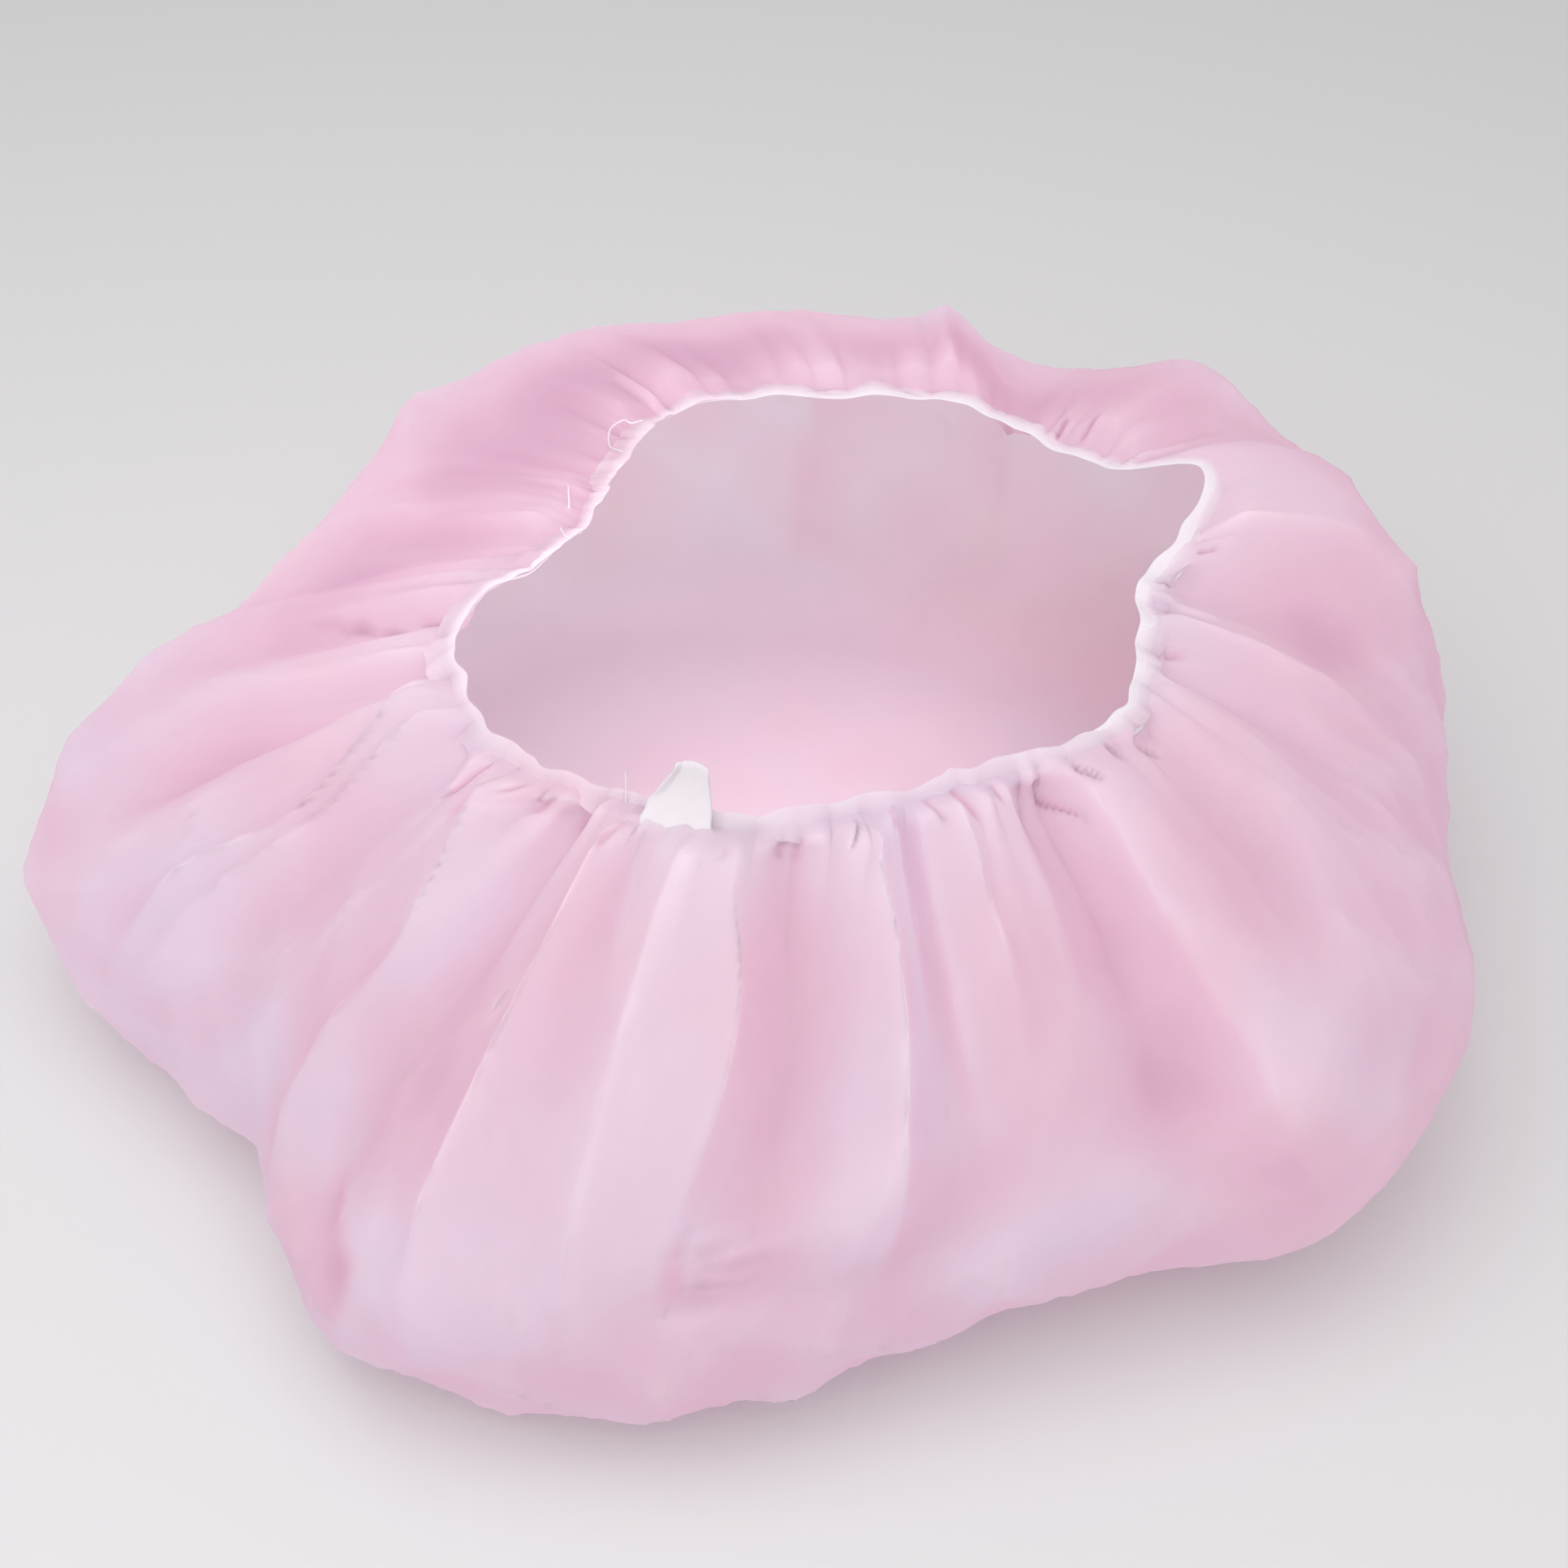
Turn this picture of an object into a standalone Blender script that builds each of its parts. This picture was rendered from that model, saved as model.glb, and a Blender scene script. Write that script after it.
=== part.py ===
"""A gathered cloth shower cap lying on its crown, with its elastic opening facing up.

Metres, +Z up. The crown rests flat on z = 0 and the origin is on that resting face, under the
middle of the cap. +X is to the right and -Y to the front, where the blank label is sewn in.
Angles run anticlockwise from +X, seen from above, in degrees. Every share in the tables below
is a share of the named size that its column follows.
"""

import bpy
import numpy as np

MM = 0.001

# The body of the cap as it lies: its reach across the bulging sides, and the height of its rim
CAP_WIDTH = 290 * MM
CAP_DEPTH = 272 * MM
CAP_HEIGHT = 80 * MM

# The opening inside the rim, and how far its middle lies to the right of and behind the origin
OPENING_WIDTH = 142 * MM
OPENING_DEPTH = 130 * MM
OPENING_RIGHT = 18 * MM
OPENING_BACK = 15 * MM

# Cloth, hem, elastic and label
CLOTH_THICKNESS = 1.2 * MM
HEM_WIDTH = 7.5 * MM
HEM_THICKNESS = 2.6 * MM
ELASTIC_WIDTH = 6.0 * MM
ELASTIC_THICKNESS = 1.0 * MM
TAG_WIDTH = 13.0 * MM
TAG_LENGTH = 14.0 * MM
TAG_THICKNESS = 1.0 * MM
TAG_AZIMUTH = 249.0
CLEARANCE = 0.3 * MM

# Gathers and folds
GATHER_COUNT = 26
GATHER_DEPTH = 1.2 * MM
GATHER_LENGTH = 18 * MM
FOLD_DEPTH = 8.0 * MM
STITCH_STRIP = 2.5 * MM

# How finely the cloth is divided: the widest column in degrees, the rows of each stretch, and
# how evenly the upper rows are spread, where 1 is even and less brings them closer to the rim
WIDEST_COLUMN = 3.9
FLOOR_ROWS = 3
UNDERSIDE_ROWS = 4
UPPER_ROWS = 11
ROW_SPREAD = 0.82
TAG_COLUMNS = 4
TAG_ROWS = 7

# The cap's outline and the run of its cloth, one row for each direction from the middle.
# azimuth: direction in degrees.
# reach: how far the side bulges, of half the cap's width and depth.
# belly: height of the widest point, of the cap's height.
# foot: where the cloth leaves the floor, of the reach.
# open: reach of the rim's edge, of half the opening's width and depth.
# height: height of the rim's edge, of the cap's height.
# rise: slope of the hem, in degrees, rising towards the opening.
# side: how high the side stands upright before it turns in, of the height above the belly.
# shoulder: how far the top stays level before it turns down, of the way from rim to belly.
# swell: how far the shoulder stands above the rim, of the cap's height.
# edge: how much of the white elastic shows above the hem, of the hem's width.
SECTION_COLUMNS = (
    "azimuth", "reach", "belly", "foot", "open", "height", "rise", "side", "shoulder", "swell", "edge",
)
SECTIONS = np.array([
    (0, 0.95, 0.45, 0.66, 0.78, 0.98, 25, 0.60, 0.65, 0.04, 0.45),
    (14, 1.00, 0.48, 0.66, 0.95, 1.00, 22, 0.65, 0.70, 0.06, 0.45),
    (25, 1.02, 0.50, 0.66, 1.10, 1.04, 20, 0.69, 0.70, 0.05, 0.40),
    (32, 1.03, 0.50, 0.66, 0.94, 1.02, 18, 0.72, 0.71, 0.07, 0.39),
    (40, 1.04, 0.50, 0.66, 0.92, 0.99, 14, 0.75, 0.72, 0.10, 0.38),
    (50, 1.03, 0.50, 0.68, 0.92, 0.98, 12, 0.75, 0.72, 0.11, 0.34),
    (60, 0.96, 0.50, 0.70, 0.96, 0.98, 12, 0.75, 0.72, 0.08, 0.32),
    (72, 0.99, 0.50, 0.70, 1.01, 0.98, 12, 0.75, 0.72, 0.11, 0.35),
    (90, 1.00, 0.50, 0.70, 0.98, 0.98, 12, 0.75, 0.72, 0.11, 0.42),
    (110, 1.00, 0.50, 0.70, 1.02, 0.98, 14, 0.75, 0.72, 0.11, 0.20),
    (123, 0.98, 0.48, 0.70, 0.98, 0.98, 16, 0.72, 0.68, 0.09, 0.14),
    (134, 0.94, 0.45, 0.70, 0.87, 0.98, 19, 0.69, 0.64, 0.06, 0.10),
    (145, 0.87, 0.42, 0.72, 0.80, 0.98, 22, 0.65, 0.60, 0.04, 0.10),
    (160, 0.85, 0.40, 0.72, 0.76, 0.97, 25, 0.60, 0.60, 0.01, 0.10),
    (174, 0.97, 0.36, 0.78, 0.84, 0.97, 30, 0.55, 0.55, -0.02, 0.10),
    (190, 0.97, 0.32, 0.82, 1.01, 0.98, 35, 0.50, 0.50, -0.05, 0.10),
    (205, 0.87, 0.30, 0.84, 1.06, 0.98, 40, 0.48, 0.48, -0.08, 0.08),
    (222, 0.82, 0.28, 0.84, 1.11, 0.99, 44, 0.45, 0.46, -0.11, 0.06),
    (238, 0.94, 0.26, 0.86, 1.04, 0.98, 46, 0.42, 0.45, -0.13, 0.06),
    (257, 0.94, 0.25, 0.86, 1.01, 0.98, 48, 0.42, 0.45, -0.14, 0.06),
    (270, 0.91, 0.27, 0.82, 0.92, 0.98, 47, 0.42, 0.45, -0.13, 0.08),
    (282, 0.87, 0.30, 0.76, 0.88, 0.98, 44, 0.44, 0.46, -0.11, 0.09),
    (292, 0.86, 0.33, 0.71, 0.86, 0.98, 41, 0.46, 0.48, -0.09, 0.11),
    (303, 0.90, 0.37, 0.66, 0.86, 0.98, 38, 0.50, 0.50, -0.06, 0.18),
    (312, 0.98, 0.40, 0.63, 0.88, 0.98, 36, 0.52, 0.52, -0.04, 0.24),
    (322, 1.00, 0.42, 0.62, 0.87, 0.97, 34, 0.55, 0.55, -0.02, 0.30),
    (338, 0.98, 0.42, 0.64, 0.80, 0.96, 30, 0.55, 0.60, 0.00, 0.42),
    (350, 0.93, 0.44, 0.64, 0.78, 0.97, 27, 0.55, 0.62, 0.03, 0.46),
])

# The main folds that run down from the rim, one row each, in order round the cap.
# outer, rim: direction of the fold at the belly and at the rim, in degrees.
# outer_run: where it dies out, on the run of the cloth from 0 at the middle to 1 at the rim.
# depth: height of the ridge, of the fold depth. A valley is below 0.
# width: half its width, in degrees.
# lean: below 0 its left side is the steeper one, above 0 its right side, up to 1.
FOLD_COLUMNS = ("outer", "rim", "outer_run", "depth", "width", "lean")
FOLDS = np.array([
    (0, 4, 0.68, -0.85, 6.0, 0.0),
    (13, 14, 0.60, 0.70, 5.0, -0.4),
    (46, 42, 0.72, 0.50, 6.0, 0.0),
    (63, 60, 0.74, -0.80, 6.0, 0.3),
    (73, 72, 0.70, 0.60, 4.0, -0.5),
    (82, 84, 0.80, -0.35, 3.5, 0.0),
    (90, 94, 0.78, 0.35, 3.5, 0.0),
    (97, 102, 0.80, -0.35, 3.5, 0.0),
    (132, 136, 0.76, -0.70, 8.0, 0.0),
    (152, 158, 0.72, 0.50, 4.0, 0.3),
    (160, 166, 0.76, -0.45, 4.0, 0.0),
    (172, 187, 0.74, -0.60, 4.0, 0.0),
    (181, 200, 0.62, -0.85, 5.0, 0.2),
    (200, 207, 0.64, 0.65, 3.5, -0.3),
    (210, 219, 0.62, -0.80, 5.0, 0.0),
    (223, 226, 0.58, 0.75, 5.0, -0.5),
    (233, 237, 0.62, -1.10, 5.5, 0.2),
    (244, 240, 0.58, 0.90, 5.0, -0.5),
    (250, 244, 0.66, -0.50, 3.5, 0.0),
    (255, 248, 0.60, 0.60, 4.0, -0.4),
    (263, 254, 0.64, 0.70, 4.0, 0.5),
    (269, 260, 0.66, -1.00, 4.5, -0.2),
    (279, 270, 0.62, 0.80, 5.0, 0.5),
    (286, 276, 0.60, -0.75, 4.5, 0.0),
    (294, 283, 0.70, 0.35, 4.0, 0.3),
    (300, 296, 0.62, 0.45, 6.0, 0.3),
    (308, 305, 0.52, -1.00, 5.5, -0.3),
    (315, 312, 0.66, 0.55, 4.0, -0.4),
    (325, 324, 0.76, -0.80, 5.5, 0.3),
    (345, 343, 0.82, -0.50, 4.0, 0.0),
])

# Hollows and bumps away from the rim, one row each.
# azimuth: direction of the middle at the belly, in degrees.
# run: place of the middle on the run of the cloth.
# depth: height, of the fold depth. A hollow is below 0.
# width, length: half the width in degrees, and half the length in run.
DENT_COLUMNS = ("azimuth", "run", "depth", "width", "length")
DENTS = np.array([
    (20, 0.72, -0.70, 9.0, 0.07),
    (50, 0.78, 0.50, 10.0, 0.09),
    (140, 0.70, -0.60, 10.0, 0.08),
    (236, 0.66, -0.60, 5.0, 0.07),
    (247, 0.68, 0.40, 5.0, 0.07),
    (267, 0.69, -0.70, 4.5, 0.04),
    (276, 0.75, 0.45, 6.0, 0.05),
    (277, 0.65, -0.60, 8.0, 0.05),
    (320, 0.66, -0.45, 8.0, 0.05),
])

# Where the run of the cloth meets the foot and the belly, on its way from 0 to 1
FOOT_RUN = 0.34
BELLY_RUN = 0.58
# How round the underside is between the foot and the belly
UNDERSIDE_ROUNDNESS = 0.55
# A fold reaches its full depth in this share of its length, and dies out over the next one
FOLD_START = 0.17
FOLD_END = 0.50
# How strongly a fold bends towards its direction at the rim
FOLD_BEND = 2.2
# Folds stand square to the cloth, and from this run on they turn to stand square to the hem
NEAR_RIM = 0.90
# Folds have their full depth once this many times past the foot's share of the underside
OFF_FLOOR = 2.0
# The hem turns round the opening's corners over this many degrees to each side
HEM_EVENNESS = 6.0
# How much of the gathers' depth is left at the hem's upper edge
HEM_EDGE_RIPPLE = 0.35
# The label: how far up the hem it starts, how much narrower its tip is, and how far it leans out
TAG_START = 0.90
TAG_TAPER = 0.50
TAG_LEAN = 1.2 * MM

UP = np.array([0.0, 0.0, 1.0])
LEVEL = np.array([1.0, 1.0, 0.0])


def clear_scene():
    for thing in list(bpy.data.objects):
        bpy.data.objects.remove(thing, do_unlink=True)


def make_material(name, colour, roughness):
    material = bpy.data.materials.new(name)
    material.use_nodes = True
    shader = material.node_tree.nodes["Principled BSDF"]
    shader.inputs["Base Color"].default_value = (*colour, 1.0)
    shader.inputs["Roughness"].default_value = roughness
    shader.inputs["Metallic"].default_value = 0.0
    return material


def unit(vectors):
    return vectors / np.linalg.norm(vectors, axis=-1, keepdims=True)


def smooth_step(value):
    value = np.clip(value, 0, 1)
    return value * value * (3 - 2 * value)


def section_value(azimuth, column):
    """A column of SECTIONS at each azimuth in radians, on a smooth closed curve through the rows."""
    knots = np.radians(SECTIONS[:, 0])
    values = SECTIONS[:, SECTION_COLUMNS.index(column)]
    turn = 2 * np.pi
    knots = np.concatenate([knots[-2:] - turn, knots, knots[:2] + turn])
    values = np.concatenate([values[-2:], values, values[:2]])
    slopes = (values[2:] - values[:-2]) / (knots[2:] - knots[:-2])
    azimuth = np.mod(azimuth, turn)
    left = np.clip(np.searchsorted(knots, azimuth, side="right") - 1, 1, len(knots) - 3)
    span = knots[left + 1] - knots[left]
    t = (azimuth - knots[left]) / span
    start = (2 * t**3 - 3 * t**2 + 1) * values[left] + (t**3 - 2 * t**2 + t) * span * slopes[left - 1]
    end = (3 * t**2 - 2 * t**3) * values[left + 1] + (t**3 - t**2) * span * slopes[left]
    return start + end


def bezier(a, b, c, d, t):
    s = 1 - t
    return s**3 * a + 3 * s**2 * t * b + 3 * s * t**2 * c + t**3 * d


def rim_edge(azimuth):
    """The closed curve of the opening: the elastic's upper edge."""
    reach = section_value(azimuth, "open")
    return np.stack([
        OPENING_RIGHT + reach * OPENING_WIDTH / 2 * np.cos(azimuth),
        OPENING_BACK + reach * OPENING_DEPTH / 2 * np.sin(azimuth),
        section_value(azimuth, "height") * CAP_HEIGHT,
    ], axis=-1)


def hem_axes(azimuth):
    """Unit vectors down the hem's face, away from the opening, and square to that face."""
    step = np.radians(HEM_EVENNESS)
    along = unit((rim_edge(azimuth + step) - rim_edge(azimuth - step)) * LEVEL)
    outward = np.stack([along[..., 1], -along[..., 0], np.zeros_like(azimuth)], axis=-1)
    rise = np.radians(section_value(azimuth, "rise"))[..., None]
    down = outward * np.cos(rise) - UP * np.sin(rise)
    face = outward * np.sin(rise) + UP * np.cos(rise)
    return down, face


def gather(azimuth):
    """The ripple that the elastic pulls into the cloth, from -1 to 1, with uneven spacing."""
    phase = GATHER_COUNT * azimuth + 0.9 * np.sin(3 * azimuth) + 0.7 * np.sin(5 * azimuth + 1.0)
    strength = 0.75 + 0.25 * np.sin(4 * azimuth + 2.0)
    return strength * np.cos(phase)


def at_hem(azimuth, width, height):
    """A point on or beside the hem: width down its face from the rim's edge, height off its cloth."""
    down, face = hem_axes(azimuth)
    width = np.broadcast_to(width, azimuth.shape)
    share = HEM_EDGE_RIPPLE + (1 - HEM_EDGE_RIPPLE) * np.clip(width / HEM_WIDTH, 0, 1)
    lift = height + gather(azimuth) * GATHER_DEPTH * share
    return rim_edge(azimuth) + down * width[..., None] + face * lift[..., None]


def plain_cloth(azimuth, run):
    """The cap with no folds: run 0 at the middle of the crown, 1 just below the row of stitches."""
    azimuth, run = np.broadcast_arrays(azimuth, run)
    down, _ = hem_axes(azimuth)
    rim = rim_edge(azimuth) + down * (HEM_WIDTH + CLEARANCE + STITCH_STRIP)
    reach = section_value(azimuth, "reach")
    belly = np.stack([
        reach * CAP_WIDTH / 2 * np.cos(azimuth),
        reach * CAP_DEPTH / 2 * np.sin(azimuth),
        section_value(azimuth, "belly") * CAP_HEIGHT,
    ], axis=-1)
    foot = belly * LEVEL * section_value(azimuth, "foot")[..., None]
    side = section_value(azimuth, "side")[..., None]
    shoulder = section_value(azimuth, "shoulder")[..., None]
    swell = section_value(azimuth, "swell")[..., None] * CAP_HEIGHT

    floor = foot * np.clip(run / FOOT_RUN, 0, 1)[..., None]
    t = np.clip((run - FOOT_RUN) / (BELLY_RUN - FOOT_RUN), 0, 1)[..., None]
    underside = bezier(
        foot,
        foot + UNDERSIDE_ROUNDNESS * (belly - foot) * LEVEL,
        belly - UNDERSIDE_ROUNDNESS * belly * UP,
        belly,
        t,
    )
    t = np.clip((run - BELLY_RUN) / (1 - BELLY_RUN), 0, 1)[..., None]
    upper = bezier(
        belly,
        belly + side * (rim - belly) * UP,
        rim + shoulder * (belly - rim) * LEVEL + swell * UP,
        rim,
        t,
    )
    run = run[..., None]
    return np.where(run < FOOT_RUN, floor, np.where(run < BELLY_RUN, underside, upper))


def rim_azimuth(lane):
    """Where a lane of cloth reaches the rim. A lane is named by its azimuth at the belly, in radians."""
    turn = 2 * np.pi
    return lane + np.interp(lane, np.radians(FOLDS[:, 0]), np.radians(FOLDS[:, 1] - FOLDS[:, 0]), period=turn)


def lane_azimuth(lane, run):
    """Azimuth of a lane at each run: straight out at the belly, then bending towards its rim azimuth."""
    bent = np.clip((run - BELLY_RUN) / (1 - BELLY_RUN), 0, 1) ** FOLD_BEND
    return lane + (rim_azimuth(lane) - lane) * bent


def fold_height(lane, run):
    """Height of the folds and dents together. A fold is a leaning bell across, with a rise and a
    fade along. A dent is a round bell."""
    total = np.zeros(np.broadcast(lane, run).shape)
    for outer, _, outer_run, depth, width, lean in FOLDS:
        along = np.clip((1 - run) / (1 - outer_run), 0, 1)
        across = (np.degrees(lane) - outer + 180) % 360 - 180
        half_width = width * np.where(across > 0, 1 - 0.6 * lean, 1 + 0.6 * lean)
        bell = np.exp(-np.abs(across / half_width) ** 1.6)
        total += depth * bell * smooth_step(along / FOLD_START) * smooth_step((1 - along) / FOLD_END)
    for azimuth, place, depth, width, length in DENTS:
        across = (np.degrees(lane) - azimuth + 180) % 360 - 180
        total += depth * np.exp(-((across / width) ** 2) - ((run - place) / length) ** 2)
    return total * FOLD_DEPTH


def cloth(lane, run):
    """The cap with its folds and gathers, kept on or above the floor."""
    lane, run = np.broadcast_arrays(lane, run)
    step = 1e-3

    def plain(lane, run):
        return plain_cloth(lane_azimuth(lane, run), run)

    around = plain(lane + step, run) - plain(lane - step, run)
    outwards = plain(lane, np.minimum(run + step, 1)) - plain(lane, run - step)
    face = unit(np.cross(around, outwards))
    azimuth = rim_azimuth(lane)
    _, hem_face = hem_axes(azimuth)
    near_rim = smooth_step((run - NEAR_RIM) / (1 - NEAR_RIM))[..., None]
    face = unit(face + near_rim * (hem_face - face))
    length = np.linalg.norm(plain(lane, np.ones_like(run)) - plain(lane, np.full_like(run, BELLY_RUN)), axis=-1)
    from_rim = (1 - run) / (1 - BELLY_RUN) * length
    ripple = gather(azimuth) * GATHER_DEPTH * np.exp(-from_rim / GATHER_LENGTH)
    off_floor = smooth_step(OFF_FLOOR * (run - FOOT_RUN) / (BELLY_RUN - FOOT_RUN))
    lift = (fold_height(lane, run) + ripple) * off_floor
    points = plain(lane, run) + face * lift[..., None]
    points[..., 2] = np.maximum(points[..., 2], 0)
    return points


def add_object(name, vertices, faces, material, collection):
    mesh = bpy.data.meshes.new(name)
    mesh.from_pydata(vertices.tolist(), [], faces)
    mesh.materials.append(material)
    mesh.shade_smooth()
    thing = bpy.data.objects.new(name, mesh)
    collection.objects.link(thing)
    return thing


def give_wall(thing, thickness, offset):
    wall = thing.modifiers.new("Wall", "SOLIDIFY")
    wall.thickness = thickness
    wall.offset = offset


def grid_faces(columns, rows, closed_around, closed_along):
    """Quads of a grid whose vertex (column, row) has the number column * rows + row."""
    faces = []
    for column in range(columns if closed_around else columns - 1):
        following = (column + 1) % columns
        for row in range(rows if closed_along else rows - 1):
            upper = (row + 1) % rows
            faces.append((
                column * rows + row,
                following * rows + row,
                following * rows + upper,
                column * rows + upper,
            ))
    return faces


def lanes():
    """The columns of the mesh: one along each fold, and evenly spaced ones between them."""
    folds = np.append(FOLDS[:, 0], FOLDS[0, 0] + 360)
    columns = []
    for left, right in zip(folds[:-1], folds[1:]):
        pieces = max(2, int(np.ceil((right - left) / WIDEST_COLUMN)))
        columns.append(np.linspace(left, right, pieces, endpoint=False))
    return np.radians(np.concatenate(columns))


def make_crown(material, collection):
    """The cloth from the middle of the crown to the row of stitches, as one open sheet with a wall."""
    runs = np.concatenate([
        np.linspace(0, FOOT_RUN, FLOOR_ROWS + 1)[1:],
        np.linspace(FOOT_RUN, BELLY_RUN, UNDERSIDE_ROWS + 1)[1:],
        BELLY_RUN + (1 - BELLY_RUN) * np.linspace(0, 1, UPPER_ROWS + 1)[1:] ** ROW_SPREAD,
    ])
    lane = lanes()
    sheet = cloth(lane[:, None], runs[None, :])
    stitched = at_hem(rim_azimuth(lane), HEM_WIDTH + CLEARANCE, 0)
    grid = np.concatenate([sheet, stitched[:, None, :]], axis=1)
    columns, rows = grid.shape[:2]
    vertices = np.concatenate([grid.reshape(-1, 3), [[0, 0, 0]]])
    faces = grid_faces(columns, rows, True, False)
    middle = len(vertices) - 1
    for column in range(columns):
        faces.append((middle, (column + 1) % columns * rows, column * rows))
    crown = add_object("crown", vertices, faces, material, collection)
    give_wall(crown, CLOTH_THICKNESS, -1)


def make_ring(name, section, material, collection):
    """A closed ring: section gives the points across it at each azimuth, anticlockwise."""
    grid = section(rim_azimuth(lanes()))
    faces = grid_faces(len(grid), grid.shape[1], True, True)
    add_object(name, grid.reshape(-1, 3), faces, material, collection)


def hem_heights():
    """Height of the hem's middle, upper face and lower face off the crown's outer face."""
    middle = -CLOTH_THICKNESS / 2
    return middle, middle + HEM_THICKNESS / 2, middle - HEM_THICKNESS / 2


def hem_section(azimuth):
    """The folded casing, fullest in its middle: from the stitches to its own upper edge and back."""
    middle, top, bottom = hem_heights()
    upper_edge = section_value(azimuth, "edge") * HEM_WIDTH
    corners = (
        (1.00, 0.35), (0.60, 1.00), (0.20, 0.80), (0.00, 0.00),
        (0.20, -0.80), (0.60, -1.00), (1.00, -0.35),
    )
    points = []
    for along, fullness in corners:
        width = upper_edge + along * (HEM_WIDTH - upper_edge)
        points.append(at_hem(azimuth, width, middle + fullness * (top - bottom) / 2))
    return np.stack(points, axis=1)


def elastic_section(azimuth):
    """The flat elastic inside the hem, whose upper edge is the edge of the opening."""
    _, _, bottom = hem_heights()
    top = bottom - CLEARANCE
    low = top - ELASTIC_THICKNESS
    corners = ((ELASTIC_WIDTH, top), (0.0, top), (0.0, low), (ELASTIC_WIDTH, low))
    points = [at_hem(azimuth, width, height) for width, height in corners]
    return np.stack(points, axis=1)


def make_tag(material, collection):
    """The blank label: caught by the stitches, up over the hem's face and standing past its edge."""
    _, top, _ = hem_heights()
    azimuth = np.radians(TAG_AZIMUTH)
    step = 1e-3
    speed = np.linalg.norm(rim_edge(np.array(azimuth + step)) - rim_edge(np.array(azimuth))) / step
    start = TAG_START * HEM_WIDTH
    widths = np.linspace(start, start - TAG_LENGTH, TAG_ROWS)
    columns = []
    for across in np.linspace(-0.5, 0.5, TAG_COLUMNS):
        past_edge = np.clip(-widths / (TAG_LENGTH - start), 0, 1)
        taper = 1 - TAG_TAPER * past_edge
        turned = azimuth + across * taper * TAG_WIDTH / speed
        height = top + CLEARANCE + TAG_LEAN * past_edge**2
        base, (down, face) = rim_edge(turned), hem_axes(turned)
        ripple = GATHER_DEPTH
        columns.append(base + down * widths[:, None] + face * (height + ripple)[:, None])
    grid = np.stack(columns)
    faces = grid_faces(TAG_COLUMNS, TAG_ROWS, False, False)
    tag = add_object("tag", grid.reshape(-1, 3), faces, material, collection)
    give_wall(tag, TAG_THICKNESS, 1)


def main():
    clear_scene()
    collection = bpy.data.collections.new("shower_cap")
    bpy.context.scene.collection.children.link(collection)
    pink = make_material("pink cloth", (0.83, 0.57, 0.72), 0.75)
    pale_pink = make_material("pale pink hem", (0.87, 0.70, 0.80), 0.75)
    white = make_material("white elastic", (0.86, 0.83, 0.86), 0.70)
    blank_white = make_material("white label", (0.85, 0.83, 0.86), 0.60)
    make_crown(pink, collection)
    make_ring("hem", hem_section, pale_pink, collection)
    make_ring("elastic_band", elastic_section, white, collection)
    make_tag(blank_white, collection)


main()
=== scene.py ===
# %% [markdown]
# A gathered shower cap in pink cloth, lying on its crown
# The cap is one round of thin cloth, drawn in by an elastic inside a narrow hem. Here it lies
# upside down on a table, so the elastic opening faces up and the crown is flattened underneath.
# Every piece is a surface worked out with numpy from two numbers: how far round the cap, and how
# far along the cloth from the middle of the crown to the stitches of the hem.

import bpy
import numpy as np
from mathutils import Matrix, Vector


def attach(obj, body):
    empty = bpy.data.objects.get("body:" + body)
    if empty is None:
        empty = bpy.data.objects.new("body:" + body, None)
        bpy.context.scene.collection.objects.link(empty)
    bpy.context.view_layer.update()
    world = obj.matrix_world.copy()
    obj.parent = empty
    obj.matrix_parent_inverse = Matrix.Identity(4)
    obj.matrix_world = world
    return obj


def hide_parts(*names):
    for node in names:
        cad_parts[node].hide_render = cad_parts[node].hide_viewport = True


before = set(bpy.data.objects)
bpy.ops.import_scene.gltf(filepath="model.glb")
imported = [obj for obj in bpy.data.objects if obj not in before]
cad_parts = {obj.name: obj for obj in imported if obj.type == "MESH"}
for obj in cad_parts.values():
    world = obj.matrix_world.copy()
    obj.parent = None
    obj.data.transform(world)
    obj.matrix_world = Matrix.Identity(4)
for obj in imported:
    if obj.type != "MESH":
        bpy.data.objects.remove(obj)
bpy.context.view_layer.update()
print("nodes of the part:", sorted(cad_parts))

# %% [markdown]
# Sizes
# The same named sizes as in the part, in metres, so that each piece lands where its solid is.
# The cap is about 290 mm across as it lies.

# %% Named sizes
MM = 0.001
CAP_WIDTH = 290 * MM
CAP_DEPTH = 272 * MM
CAP_HEIGHT = 80 * MM
OPENING_WIDTH = 142 * MM
OPENING_DEPTH = 130 * MM
OPENING_RIGHT = 18 * MM
OPENING_BACK = 15 * MM
CLOTH_THICKNESS = 0.4 * MM
HEM_WIDTH = 7.5 * MM
GATHER_COUNT = 26
GATHER_DEPTH = 1.2 * MM
GATHER_LENGTH = 18 * MM
FOLD_DEPTH = 8 * MM
HEM_OVERLAP = 1.6 * MM
CLEAR_EDGE = 1.3 * MM
FOOT_RUN = 0.34
BELLY_RUN = 0.58
UNDERSIDE_ROUNDNESS = 0.55
FOLD_START = 0.075
FOLD_END = 0.50
FOLD_BEND = 2.2
NEAR_RIM = 0.90
OFF_FLOOR = 2
HEM_EVENNESS = 6
HEM_EDGE_RIPPLE = 0.35
UP = np.array([0.0, 0.0, 1.0])
LEVEL = np.array([1.0, 1.0, 0.0])
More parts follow.
